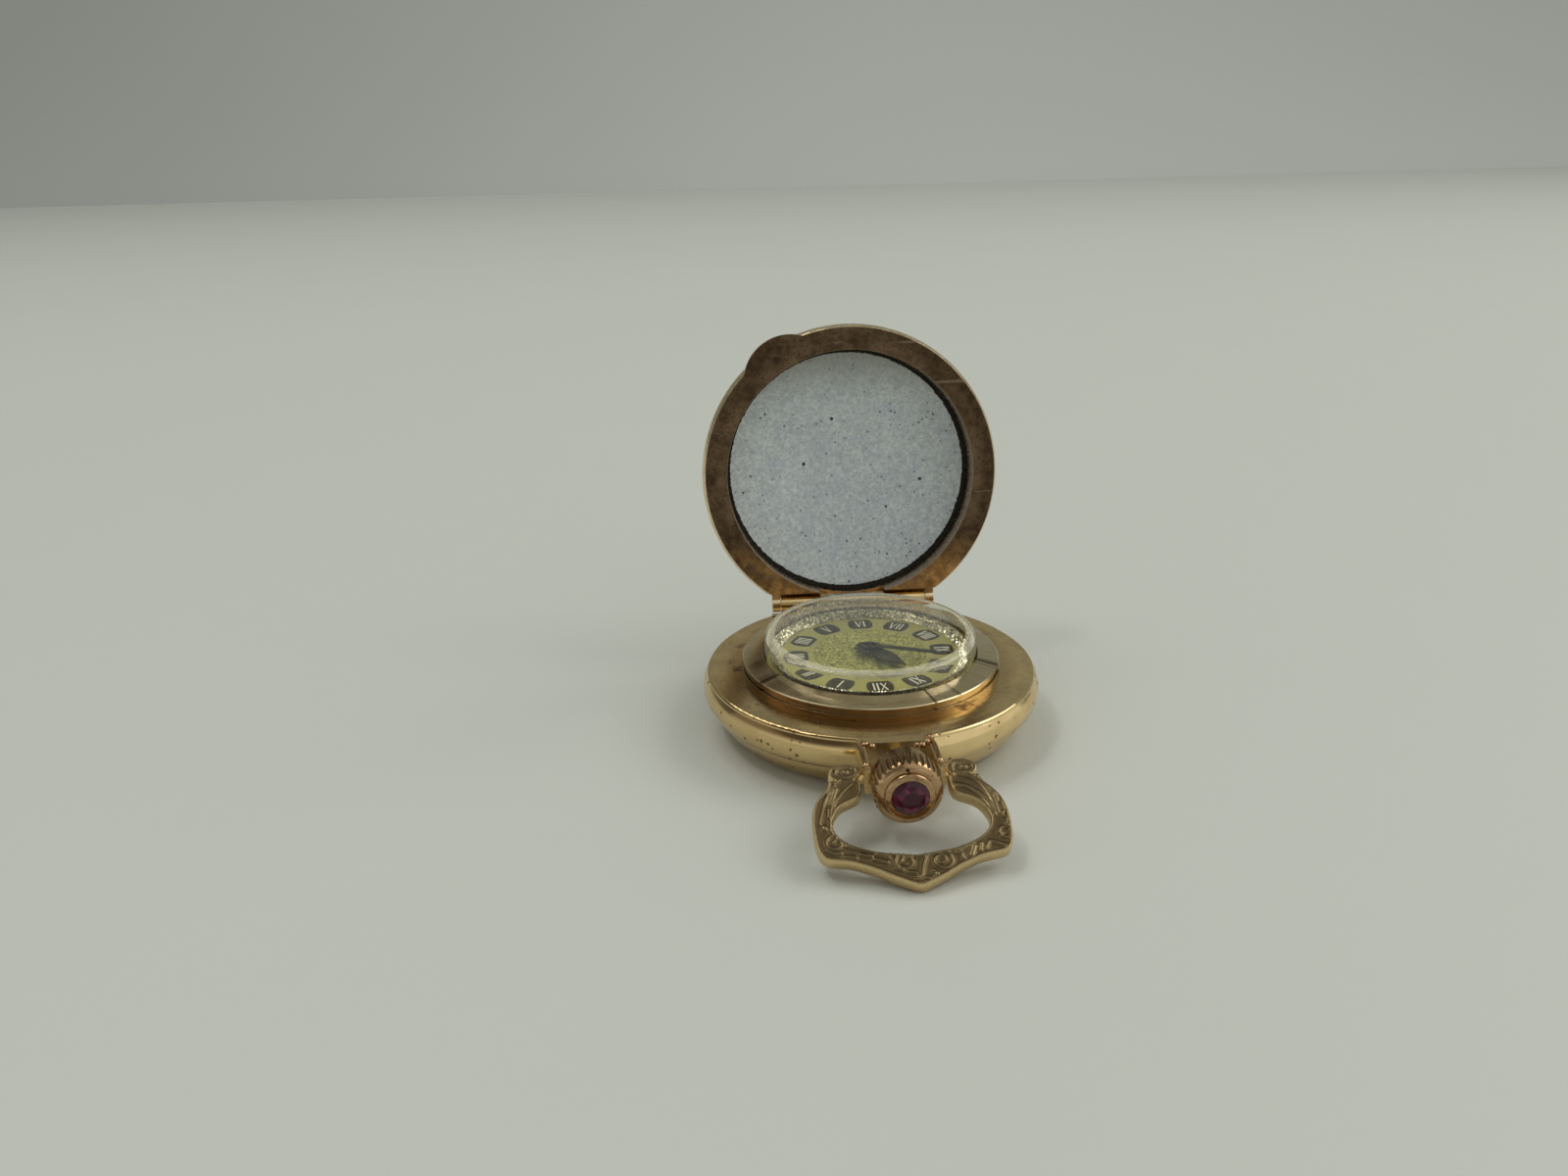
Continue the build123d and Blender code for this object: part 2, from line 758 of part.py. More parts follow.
# Lid, modelled closed and then opened about the hinge
def opened(shape):
    axis = Axis((0, hinge_reach, hinge_height), (1, 0, 0))
    return shape.rotate(axis, -lid_open_turn)


def lid_height(rise):
    return lid_face_height + rise


def lid_outer_curve():
    return Spline(
        (lid_face_radius, lid_height(0)), (lid_belly_radius, lid_height(lid_belly_rise)),
        (lid_shoulder_radius, lid_height(lid_shoulder_rise)),
        (lid_crown_radius, lid_height(lid_crown_rise)), (lid_lip_radius, lid_height(lid_lip_rise)),
    )


def enamel_height(radius):
    """Height of the enamel's inner face at a radius, over the lid's face plane."""
    return enamel_rise + enamel_sag * (1 - (radius / enamel_radius) ** 2)


def closed_lid_shell():
    lip_low = lid_height(enamel_height(lid_lip_radius) + enamel_thickness + seat_gap)
    rim_low = lid_height(enamel_rise + enamel_thickness + seat_gap)
    ring_solid = turned(
        Line((lid_well_radius, lid_height(0)), (lid_face_radius, lid_height(0))),
        lid_outer_curve(),
        Line((lid_lip_radius, lid_height(lid_lip_rise)), (lid_lip_radius, lip_low)),
        Line((lid_lip_radius, lip_low), (lid_well_radius, rim_low)),
        Line((lid_well_radius, rim_low), (lid_well_radius, lid_height(0))),
    )
    tab_at = toward((0, 0), -90 - tab_turn, tab_reach - tab_radius)
    tab = disc(tab_radius, lid_height(0), lid_height(tab_thickness), tab_at)
    tab -= disc((lid_well_radius + lid_face_radius) / 2, 0, lid_height(lid_lip_rise))
    ring_solid += tab
    pocket_high = hinge_height + knuckle_radius + hinge_pocket_gap
    ring_solid -= block((-case_radius, case_radius), (hinge_pocket_reach, case_radius + overrun),
                        (0, pocket_high))
    ring_solid -= block((-case_radius, case_radius), (lid_back_reach, case_radius + overrun),
                        (0, lid_height(lid_lip_rise) + overrun))
    return ring_solid


def closed_lid_knuckles():
    shell = closed_lid_shell()
    ear_in = hinge_half_length - lid_ear_length
    pieces = []
    for side in (-1, 1):
        span = (min(side * ear_in, side * hinge_half_length), max(side * ear_in, side * hinge_half_length))
        ear = hinge_rod(knuckle_radius, *span)
        ear += block(span, (hinge_pocket_reach - knuckle_neck_half, hinge_reach),
                     (hinge_height - knuckle_neck_half, hinge_height + knuckle_neck_half))
        pieces.append(ear)
    span = (-lid_mid_half_length, lid_mid_half_length)
    middle = hinge_rod(knuckle_radius, *span)
    middle += block(span, (hinge_reach - knuckle_neck_half, hinge_reach + knuckle_neck_half),
                    (hinge_height, hinge_height + 2 * knuckle_radius))
    pieces.append(middle)
    bore = hinge_rod(hinge_pin_radius + hinge_pin_gap, -hinge_half_length - overrun,
                     hinge_half_length + overrun)
    return [(piece - shell - bore).solids().sort_by(SortBy.VOLUME)[-1] for piece in pieces]


def make_lid_enamel():
    rim_in = lid_height(enamel_rise)
    rim_out = rim_in + enamel_thickness
    top_in = lid_height(enamel_height(0))
    top_out = top_in + enamel_thickness
    closed = turned(
        ThreePointArc((-enamel_radius, rim_in), (0, top_in), (enamel_radius, rim_in)).trim(0.5, 1),
        Line((enamel_radius, rim_in), (enamel_radius, rim_out)),
        ThreePointArc((-enamel_radius, rim_out), (0, top_out), (enamel_radius, rim_out)).trim(0.5, 1),
        Line((0, top_out), (0, top_in)),
    )
    return opened(closed)


def make_lid_retainer():
    high = lid_height(enamel_rise + enamel_thickness)
    low = lid_height(enamel_rise - retainer_height)
    closed = ring(lid_well_radius - press_gap, enamel_radius + press_gap, low, high)
    return opened(closed)


# Bow
def bow_point(shares):
    return (shares[0] * bow_half_width, -shares[1] * bow_tip_length)


def make_bow():
    right_outer = [bow_point(shares) for shares in bow_outer_shares]
    right_inner = [bow_point(shares) for shares in bow_inner_shares]
    left_outer = [(-x, y) for x, y in reversed(right_outer[:-1])]
    left_inner = [(-x, y) for x, y in reversed(right_inner[:-1])]
    outer = Spline(*right_outer, *left_outer)
    inner = Spline(*right_inner, *left_inner)
    outline = make_face([
        outer, Line(left_outer[-1], left_inner[-1]), inner, Line(right_inner[0], right_outer[0]),
    ])
    frame = Pos(0, 0, -bow_thickness / 2) * extrude(outline, bow_thickness)
    volute_x = collar_outer + bow_side_gap + volute_half_width
    for side in (-1, 1):
        volute = extrude(Ellipse(volute_half_width, volute_half_length), bow_thickness)
        frame += Pos(side * volute_x, volute_set_back, -bow_thickness / 2) * volute
    throat = collar_outer + bow_side_gap
    frame -= block((-throat, throat), (-bow_half_width / 2, bow_half_width), (-bow_thickness, bow_thickness))
    for side in (-1, 1):
        near = side * collar_outer
        far = side * (collar_outer + bow_pin_depth + bow_pin_gap)
        frame -= rod_along_x(bow_pin_radius + bow_pin_gap, min(near, far), max(near, far), 0, 0)
    return Pos(0, -bow_pivot_reach, bow_pivot_height) * Rot(bow_drop, 0, 0) * frame


# Crown and stem
def make_crown_shell():
    neck_end = crown_start + crown_neck_length
    fluted_end = neck_end + crown_fluted_length
    diagonal = math.sin(math.radians(45))
    shoulder = (crown_front_radius + diagonal * (crown_radius - crown_front_radius),
                fluted_end + diagonal * (crown_dome_end - fluted_end))
    bore_end = crown_start + crown_bore_length
    shell = turned(
        Line((crown_bore_radius, crown_start), (crown_neck_radius, crown_start)),
        Line((crown_neck_radius, crown_start), (crown_neck_radius, neck_end)),
        Line((crown_neck_radius, neck_end), (crown_radius - crown_bevel, neck_end)),
        Line((crown_radius - crown_bevel, neck_end), (crown_radius, neck_end + crown_bevel)),
        Line((crown_radius, neck_end + crown_bevel), (crown_radius, fluted_end)),
        ThreePointArc((crown_radius, fluted_end), shoulder, (crown_front_radius, crown_dome_end)),
        Line((crown_front_radius, crown_dome_end), (0, crown_dome_end)),
        Line((0, crown_dome_end), (0, bore_end)),
        Line((0, bore_end), (crown_bore_radius, bore_end)),
        Line((crown_bore_radius, bore_end), (crown_bore_radius, crown_start)),
    )
    for flute in range(crown_flutes):
        place = toward((0, 0), 360 * flute / crown_flutes, crown_radius)
        shell -= disc(flute_radius, neck_end - overrun, crown_dome_end, place)
    shell -= disc(setting_plug_radius + press_gap, crown_dome_end - setting_plug_length,
                  crown_dome_end + overrun)
    shell -= disc(stem_radius, 0, crown_dome_end)
    return on_stem(shell)


def make_stone_setting():
    plug = disc(setting_plug_radius, crown_dome_end - setting_plug_length, crown_dome_end)
    ring_high = crown_dome_end + setting_ring_height
    flange = turned(
        Line((0, crown_dome_end), (crown_front_radius, crown_dome_end)),
        Line((crown_front_radius, crown_dome_end), (crown_front_radius, ring_high - setting_ring_round)),
        ThreePointArc((crown_front_radius, ring_high - setting_ring_round),
                      (crown_front_radius - setting_ring_round / 4, ring_high - setting_ring_round / 4),
                      (crown_front_radius - setting_ring_round, ring_high)),
        Line((crown_front_radius - setting_ring_round, ring_high), (0, ring_high)),
        Line((0, ring_high), (0, crown_dome_end)),
    )
    seat = disc(stone_radius + seat_gap, ring_high - stone_depth, ring_high + overrun)
    return on_stem(plug + flange - seat)


def make_crown_stone():
    high = crown_dome_end + setting_ring_height
    low = high - stone_depth + seat_gap
    return on_stem(turned(
        Line((0, low), (stone_radius, low)),
        Line((stone_radius, low), (stone_radius, high)),
        ThreePointArc((-stone_radius, high), (0, high + stone_dome), (stone_radius, high)).trim(0.5, 1),
        Line((0, high + stone_dome), (0, low)),
    ))


def make_winding_stem():
    stem_end = crown_dome_end - setting_plug_length - seat_gap
    square_start = winding_pinion_start - slip_gap
    stem = disc(stem_radius - press_gap, square_start, stem_end)
    groove_low = stem_groove_at - stem_groove_width / 2
    stem -= ring(stem_radius + overrun, stem_radius - stem_groove_depth, groove_low,
                 groove_low + stem_groove_width)
    half = stem_square / 2
    stem += block((-half, half), (-half, half), (stem_square_end, square_start))
    stem += disc(stem_tail_radius, stem_tail_end, stem_square_end)
    return on_stem(stem)


def make_crown_seal():
    return on_stem(ring(crown_bore_radius - seat_gap, tube_radius + seat_gap, seal_start,
                        seal_start + seal_length))


def make_winding_pinion():
    pitch_radius = winding_pinion_radius / (1 + 2 * tip_share / winding_pinion_teeth)
    low = winding_pinion_start
    body = gear(winding_pinion_teeth, pitch_radius, low, low + winding_pinion_length, phase=-90)
    body -= disc(stem_radius + pivot_gap, 0, low + winding_pinion_length + overrun)
    return on_stem(body)


def make_clutch_wheel():
    low = clutch_start
    high = low + clutch_length - clutch_tooth_height
    body = disc(clutch_radius, low, high)
    middle = (low + high) / 2
    body -= ring(clutch_radius + overrun, clutch_radius - clutch_groove_depth,
                 middle - clutch_groove_width / 2, middle + clutch_groove_width / 2)
    for tooth in range(clutch_teeth):
        bar = block((clutch_radius / 2, clutch_radius), (-clutch_tooth_width / 2, clutch_tooth_width / 2),
                    (high, low + clutch_length - slip_gap))
        body += Rot(0, 0, 360 * tooth / clutch_teeth) * (bar & disc(clutch_radius, low, low + clutch_length))
    half = stem_square / 2 + pivot_gap
    body -= block((-half, half), (-half, half), (0, low + clutch_length))
    return on_stem(body)


# Movement frame
def screw_holes(shape, places, low):
    for place in places:
        shape -= disc(screw_shank_radius + pivot_gap, low - overrun, plate_low + screw_reach, place)
    return shape


def train_pivots():
    return (third_at, fourth_at, escape_at, fork_at, balance_at)


def make_mainplate():
    plate = disc(plate_radius, plate_low, plate_top)
    plate += ring(plate_radius, plate_radius - plate_rim_width, plate_top, dial_low - seat_gap)
    barrel_pocket = barrel_pitch_radius + barrel_gap + barrel_body_inset
    plate -= disc(barrel_pocket, plate_low - overrun, barrel_high + barrel_gap, barrel_at)
    plate -= disc(centre_pinion_radius + barrel_body_inset, plate_low - overrun,
                  plate_low + centre_pocket_depth(), centre_at)
    plate -= disc(centre_post_radius + pivot_gap, plate_low - overrun, plate_top + overrun, centre_at)
    for place in train_pivots():
        plate -= disc(jewel_radius, plate_low - overrun, plate_low + jewel_height, place)
        plate -= disc(pivot_radius + pivot_gap, plate_low, plate_low + 2 * jewel_height, place)
    for places in (barrel_bridge_posts, train_bridge_posts, pallet_bridge_posts, cock_posts):
        plate = screw_holes(plate, places, plate_low)
    plate -= on_stem(disc(stem_radius + stem_gap, 0, plate_radius + overrun))
    plate -= winding_slot(plate_low - overrun, dial_low)
    lever_slot = stem_groove_width
    plate -= block((-lever_slot, lever_slot),
                   (-stem_groove_at - crown_travel - lever_slot, -stem_groove_at + lever_slot),
                   (stem_height, dial_low))
    lever_side = setting_lever_reach + setting_lever_width
    plate -= block((-lever_side / 2, lever_side), (-plate_radius - overrun, -stem_groove_at + setting_lever_width),
                   (plate_top, dial_low))
    return plate


def centre_pocket_depth():
    return barrel_tooth_height + 2 * barrel_gap + (barrel_low + barrel_tooth_lift - plate_low)


def winding_slot(low, high):
    """The space that the winding pinion and the clutch wheel run in."""
    pinion_half = winding_pinion_radius + winding_slot_gap
    pinion_far = winding_pinion_start + winding_pinion_length + winding_slot_gap
    pinion_near = clutch_start + clutch_length - winding_slot_gap
    clutch_half = clutch_radius + winding_slot_gap
    clutch_near = clutch_start - clutch_travel - winding_slot_gap
    slot = block((-pinion_half, pinion_half), (-pinion_far, -pinion_near), (low, high))
    return slot + block((-clutch_half, clutch_half), (-pinion_far, -clutch_near), (low, high))


def make_movement_ring():
    bore = plate_radius + movement_ring_gap
    low = seam_height + back_lip_height + seat_gap
    foot = ring(lip_radius - gasket_width - slip_gap, bore, low, flange_low - ring_foot_gap)
    collar = ring(bezel_seat_radius - bezel_skirt_width - slip_gap, bore, low, plate_top)
    hole = on_stem(disc(stem_radius + stem_gap, 0, case_radius))
    return foot + collar - hole


def bridge_with_posts(outline, low, high, posts):
    shape = outline
    for place in posts:
        shape += disc(post_radius, low, plate_low, place)
    return screw_holes(shape, posts, low)


def make_barrel_bridge():
    low = barrel_bridge_low
    high = barrel_bridge_top
    outline = prism(on_plate(barrel_bridge_shares), low, high)
    outline &= disc(plate_radius - movement_ring_gap, low, high)
    outline -= disc(balance_radius + balance_clearance, low - overrun, high + overrun, balance_at)
    outline -= disc(ratchet_pitch_radius + balance_clearance, low - overrun, recess_top, barrel_at)
    outline -= disc(crown_wheel_pitch_radius + balance_clearance, low - overrun, recess_top, crown_wheel_at)
    outline -= disc(barrel_pivot_radius + pivot_gap, low, high + overrun, barrel_at)
    outline -= disc(screw_shank_radius, recess_top - overrun, high, crown_wheel_at)
    outline -= disc(arbor_radius + pivot_gap, low + barrel_bridge_thickness / 2, high + overrun, centre_at)
    outline -= winding_slot(low - overrun, high + overrun)
    return bridge_with_posts(outline, low, high, barrel_bridge_posts)


def jewelled(shape, places, high):
    for place in places:
        shape -= disc(jewel_radius, high - jewel_height, high + overrun, place)
        shape -= disc(pivot_radius + pivot_gap, high - 2 * jewel_height, high, place)
    return shape


def make_train_bridge():
    low = train_bridge_low
    high = train_bridge_top
    outline = prism(on_plate(train_bridge_shares), low, high)
    outline &= disc(plate_radius - movement_ring_gap, low, high)
    outline = bridge_with_posts(outline, low, high, train_bridge_posts)
    return jewelled(outline, (third_at, fourth_at, escape_at), high)


def make_pallet_bridge():
    low = pallet_bridge_low
    high = pallet_bridge_top
    foot = pallet_bridge_posts[0]
    bar = link(fork_at, foot, 2 * jewel_radius + slip_gap, low, high)
    bar = bridge_with_posts(bar, low, high, pallet_bridge_posts)
    bar -= disc(jewel_radius, high - jewel_height, high + overrun, fork_at)
    return bar - disc(pivot_radius + pivot_gap, low - overrun, high, fork_at)


def make_balance_cock():
    low = cock_low
    high = cock_top
    bar = link(balance_at, cock_posts[0], 2 * post_radius, low, high)
    bar += disc(regulator_ring_radius, low, high, balance_at)
    bar = bridge_with_posts(bar, low, high, cock_posts)
    return jewelled(bar, (balance_at,), high)


def screw(place, head_low, head_high, tip):
    body = disc(screw_head_radius, head_low, head_high, place) + disc(screw_shank_radius, head_high, tip, place)
    slot = block((-screw_head_radius, screw_head_radius), (-screw_slot_width / 2, screw_slot_width / 2),
                 (head_low - overrun, head_low + screw_slot_depth))
    return body - Pos(place[0], place[1], 0) * slot


def make_bridge_screws():
    screws = []
    groups = ((barrel_bridge_posts, barrel_bridge_low), (train_bridge_posts, train_bridge_low),
              (pallet_bridge_posts, pallet_bridge_low), (cock_posts, cock_low))
    for places, low in groups:
        for place in places:
            screws.append(screw(place, low - screw_head_height, low, plate_low + screw_reach - pivot_gap))
    return Compound(children=screws)


def make_jewels():
    stones = []
    for place in train_pivots():
        stones.append(ring(jewel_radius - press_gap, pivot_radius + pivot_gap, plate_low,
                           plate_low + jewel_height - press_gap, place))
    for place in (third_at, fourth_at, escape_at):
        stones.append(ring(jewel_radius - press_gap, pivot_radius + pivot_gap,
                           train_bridge_top - jewel_height + press_gap, train_bridge_top, place))
    stones.append(ring(jewel_radius - press_gap, pivot_radius + pivot_gap,
                       pallet_bridge_top - jewel_height + press_gap, pallet_bridge_top, fork_at))
    stones.append(ring(jewel_radius - press_gap, pivot_radius + pivot_gap,
                       cock_top - jewel_height + press_gap, cock_top, balance_at))
    return Compound(children=stones)


# Barrel and winding work
crown_wheel_phase = -90 + 180 / crown_wheel_teeth
ratchet_phase = meshing_phase(crown_wheel_phase, crown_wheel_teeth, ratchet_teeth,
                              bearing(crown_wheel_at, barrel_at))


def make_barrel_drum():
    tooth_low = barrel_low + barrel_tooth_lift
    body_radius = barrel_pitch_radius - barrel_body_inset
    drum = gear(barrel_teeth, barrel_pitch_radius, tooth_low, tooth_low + barrel_tooth_height, barrel_at)
    drum += disc(body_radius, barrel_low + barrel_cover_height, barrel_high, barrel_at)
    drum -= disc(body_radius - barrel_wall, barrel_low, barrel_high - barrel_floor, barrel_at)
    return drum - disc(barrel_pivot_radius + pivot_gap, barrel_low, barrel_high + overrun, barrel_at)


def make_barrel_cover():
    return ring(barrel_pitch_radius - barrel_body_inset, barrel_pivot_radius + pivot_gap, barrel_low,
                barrel_low + barrel_cover_height - press_gap, barrel_at)


def make_barrel_arbor():
    core = disc(barrel_arbor_radius, barrel_low + barrel_cover_height + slip_gap,
                barrel_high - barrel_floor - slip_gap, barrel_at)
    return core + disc(barrel_pivot_radius, winding_wheel_top, barrel_high - press_gap, barrel_at)


def make_mainspring():
    low = barrel_low + barrel_cover_height + 2 * slip_gap
    high = barrel_high - barrel_floor - 2 * slip_gap
    outer = barrel_pitch_radius - barrel_body_inset - barrel_wall - mainspring_thickness - slip_gap
    return spiral_band(barrel_arbor_radius + slip_gap, outer, mainspring_turns, mainspring_thickness,
                       low, high, barrel_at)


def make_ratchet_wheel():
    wheel = gear(ratchet_teeth, ratchet_pitch_radius, winding_wheel_low, winding_wheel_top - press_gap,
                 barrel_at, ratchet_phase)
    return wheel - disc(screw_shank_radius + press_gap, winding_wheel_low - overrun, winding_wheel_top, barrel_at)


def make_ratchet_screw():
    return screw(barrel_at, winding_wheel_low - screw_head_height, winding_wheel_low, winding_wheel_top - press_gap)


def make_crown_wheel():
    wheel = gear(crown_wheel_teeth, crown_wheel_pitch_radius, winding_wheel_low, winding_wheel_top,
                 crown_wheel_at, crown_wheel_phase)
    return wheel - disc(screw_shank_radius + pivot_gap, winding_wheel_low - overrun,
                        winding_wheel_top + overrun, crown_wheel_at)


def make_crown_wheel_screw():
    return screw(crown_wheel_at, winding_wheel_low - screw_head_height - pivot_gap,
                 winding_wheel_low - pivot_gap, barrel_bridge_top - press_gap)


def make_click():
    low = barrel_bridge_low - click_thickness - seat_gap
    high = barrel_bridge_low - seat_gap
    turn = bearing(click_pivot_at, barrel_at)
    reach = gap_between(click_pivot_at, barrel_at) - ratchet_tip_radius() - click_tooth_gap - click_width / 2
    body = link(click_pivot_at, toward(click_pivot_at, turn, reach), click_width, low, high)
    body += disc(click_radius, low, high, click_pivot_at)
    return body


def ratchet_tip_radius():
    return ratchet_pitch_radius * (1 + 2 * tip_share / ratchet_teeth)


def make_click_spring():
    low = barrel_bridge_low - click_thickness - seat_gap
    start = toward(click_pivot_at, 90, click_radius + click_width)
    end = toward(start, click_spring_turn, click_radius + click_width)
    return link(start, end, spring_strip_width, low, barrel_bridge_low - press_gap)


# Going train
barrel_phase = 0.0
centre_pinion_phase = meshing_phase(barrel_phase, barrel_teeth, centre_pinion_teeth,
                                    bearing(barrel_at, centre_at))
centre_phase = 0.0
third_pinion_phase = meshing_phase(centre_phase, centre_teeth, train_pinion_teeth, third_turn)
third_phase = 0.0
fourth_pinion_phase = meshing_phase(third_phase, third_teeth, train_pinion_teeth, fourth_turn)
fourth_phase = 0.0
escape_pinion_phase = meshing_phase(fourth_phase, fourth_teeth, escape_pinion_teeth, escape_turn)


def train_arbor(place, bridge_top):
    low = bridge_top + slip_gap
    high = plate_low - slip_gap
    body = disc(arbor_radius, low, high, place)
    return body + disc(pivot_radius, bridge_top - jewel_height, plate_low + jewel_height, place)


def make_centre_wheel():
    wheel = armed_wheel(centre_teeth, centre_pitch_radius, level_one - wheel_thickness, level_one,
                        centre_at, centre_phase, centre_pinion_radius, post_radius)
    pinion_low = level_one
    pinion_high = barrel_low + barrel_tooth_lift + barrel_tooth_height + barrel_gap
    wheel += gear(centre_pinion_teeth, centre_pinion_radius, pinion_low, pinion_high, centre_at,
                  centre_pinion_phase)
    wheel += disc(centre_post_radius, pinion_high, centre_post_top(), centre_at)
    return wheel + disc(arbor_radius, barrel_bridge_low + barrel_bridge_thickness / 2 + slip_gap,
                        level_one, centre_at)


def centre_post_top():
    return hour_hand_low() + 2 * hand_thickness + hand_gap - slip_gap


def make_third_wheel():
    wheel = armed_wheel(third_teeth, third_pitch_radius, level_two - wheel_thickness, level_two, third_at,
                        third_phase, post_radius, 2 * arbor_radius)
    pinion = gear(train_pinion_teeth, third_pinion_radius, level_one - wheel_thickness - pinion_overhang,
                  level_one + pinion_overhang, third_at, third_pinion_phase)
    return wheel + pinion + train_arbor(third_at, train_bridge_top)


def make_fourth_wheel():
    wheel = armed_wheel(fourth_teeth, fourth_pitch_radius, level_three - wheel_thickness, level_three,
                        fourth_at, fourth_phase, post_radius, 2 * arbor_radius)
    pinion = gear(train_pinion_teeth, fourth_pinion_radius, level_two - wheel_thickness - pinion_overhang,
                  level_two + pinion_overhang, fourth_at, fourth_pinion_phase)
    return wheel + pinion + train_arbor(fourth_at, train_bridge_top)


def make_escape_wheel():
    points = []
    pitch = 360 / escape_teeth
    for tooth in range(escape_teeth):
        middle = fork_turn + pitch / 2 + tooth * pitch
        points.append(toward((0, 0), middle - pitch / 2, escape_root_radius))
        points.append(toward((0, 0), middle - pitch / 5, escape_radius))
        points.append(toward((0, 0), middle, escape_radius))
        points.append(toward((0, 0), middle, escape_root_radius))
    wheel = Pos(escape_at[0], escape_at[1], 0) * prism(points, level_one - wheel_thickness, level_one)
    hub = post_radius * 2 / 3
    window = ring(escape_root_radius - hub / 2, hub, level_one - wheel_thickness, level_one, escape_at)
    for arm in range(4):
        window -= link(escape_at, toward(escape_at, 90 * arm, escape_radius), arbor_radius,
                       level_one - wheel_thickness, level_one)
    pinion = gear(escape_pinion_teeth, escape_pinion_radius, level_three - wheel_thickness - pinion_overhang,
                  level_three + pinion_overhang, escape_at, escape_pinion_phase)
    shaft = disc(escape_pinion_radius * 2 / 3, level_three, plate_low - slip_gap, escape_at)
    shaft += disc(pivot_radius, train_bridge_top - jewel_height, plate_low + jewel_height, escape_at)
    return wheel - window + pinion + shaft


def make_pallet_fork():
    low = level_one - wheel_thickness
    lever_end = toward(balance_at, fork_turn + 180, fork_roller_gap)
    body = link(fork_at, lever_end, fork_width, low, level_one)
    body += disc(jewel_radius, low, level_one, fork_at)
    tip_limit = escape_radius + pallet_gap
    for side in (-1, 1):
        shoulder = toward(fork_at, fork_turn + side * 90, fork_arm_spread)
        stone_end = toward(shoulder, fork_turn + 180, fork_arm_reach)
        body += link(fork_at, shoulder, fork_width, low, level_one)
        body += link(shoulder, stone_end, fork_width, low, level_one)
    body -= disc(tip_limit, low - overrun, level_one + overrun, escape_at)
    shaft = disc(arbor_radius, pallet_bridge_top + slip_gap, plate_low - slip_gap, fork_at)
    shaft += disc(pivot_radius, pallet_bridge_top - jewel_height, plate_low + jewel_height, fork_at)
    return body + shaft


def make_balance_wheel():
    low = cock_top + balance_rim_lift - balance_rim_height
    high = low + balance_rim_height
    wheel = ring(balance_radius, balance_radius - balance_rim_width, low, high, balance_at)
    arm_reach = balance_radius - balance_rim_width / 2
    wheel += link(toward(balance_at, 0, arm_reach), toward(balance_at, 180, arm_reach), 2 * arbor_radius,
                  low, high)
    roller_high = level_one - wheel_thickness - slip_gap
    wheel += disc(roller_radius, roller_high - roller_height, roller_high, balance_at)
    wheel += disc(roller_pin_radius, roller_high, level_one, toward(balance_at, fork_turn + 180, roller_pin_orbit))
    return wheel + train_arbor(balance_at, cock_top)


def make_hairspring():
    low = cock_top + slip_gap / 2
    return spiral_band(hairspring_inner_radius, hairspring_outer_radius, hairspring_turns,
                       hairspring_thickness, low, low + hairspring_height, balance_at)


def make_regulator():
    high = cock_low - seat_gap
    low = high - regulator_thickness
    body = ring(regulator_ring_radius, regulator_ring_radius - regulator_ring_width, low, high, balance_at)
    start = toward(balance_at, bearing(balance_at, (0, 0)), regulator_ring_radius - regulator_ring_width / 2)
    end = toward(balance_at, bearing(balance_at, (0, 0)), regulator_length)
    return body + link(start, end, regulator_ring_width, low, high)


# Motion work
cannon_phase = -90.0
minute_wheel_phase = meshing_phase(cannon_phase, cannon_teeth, minute_wheel_teeth, -90)
minute_pinion_phase = 90.0
hour_wheel_phase = meshing_phase(minute_pinion_phase, minute_pinion_teeth, hour_wheel_teeth, 90)
setting_phase = meshing_phase(minute_wheel_phase, minute_wheel_teeth, setting_wheel_teeth, -90)


def motion_low():
    return plate_top + motion_gap


def hour_wheel_low():
    return motion_low() + motion_wheel_height + motion_gap * 2


def hour_hand_low():
    return dial_top_height + hand_gap * 2


def make_cannon_pinion():
    low = motion_low()
    high = hour_hand_low() + 2 * hand_thickness + hand_gap
    body = gear(cannon_teeth, cannon_pitch_radius, low, low + motion_wheel_height, centre_at, cannon_phase)
    body += disc(cannon_pipe_radius, low, high, centre_at)
    return body - disc(centre_post_radius + pivot_gap, low - overrun, high - slip_gap / 2, centre_at)


def make_hour_wheel():
    low = hour_wheel_low()
    body = gear(hour_wheel_teeth, hour_wheel_radius, low, low + motion_wheel_height, centre_at,
                hour_wheel_phase)
    body += disc(hour_pipe_radius, low, hour_hand_low() + hand_thickness, centre_at)
    return body - disc(cannon_pipe_radius + 2 * pivot_gap, low - overrun, dial_top_height + overrun, centre_at)


def make_minute_wheel():
    low = motion_low()
    body = gear(minute_wheel_teeth, minute_wheel_radius, low, low + motion_wheel_height, minute_wheel_at,
                minute_wheel_phase)
    top = hour_wheel_low() + motion_wheel_height
    body += gear(minute_pinion_teeth, minute_pinion_radius, low, top, minute_wheel_at, minute_pinion_phase)
    return body - disc(motion_stud_radius / 2 + pivot_gap, low - overrun, top + overrun, minute_wheel_at)


def make_setting_wheel():
    low = motion_low()
    body = gear(setting_wheel_teeth, setting_wheel_radius, low, low + motion_wheel_height,
                setting_wheel_at, setting_phase)
    return body - disc(motion_stud_radius + pivot_gap, low - overrun, low + overrun, setting_wheel_at)


def make_motion_studs():
    """The posts that the minute wheel and the setting wheel turn on."""
    top = hour_wheel_low() + motion_wheel_height - motion_gap
    minute_stud = disc(motion_stud_radius / 2, plate_top, top, minute_wheel_at)
    setting_stud = disc(motion_stud_radius, plate_top, top, setting_wheel_at)
    return Compound(children=[minute_stud, setting_stud])


def make_setting_lever():
    pivot = (setting_lever_reach, -stem_groove_at - crown_travel / 2)
    nose = (0.0, -stem_groove_at)
    body = link(pivot, nose, setting_lever_width, lever_low, lever_low + lever_height)
    pin_low = stem_height + stem_radius - stem_groove_depth + pivot_gap
    return body + disc(lever_pin_radius, pin_low, lever_low, nose)


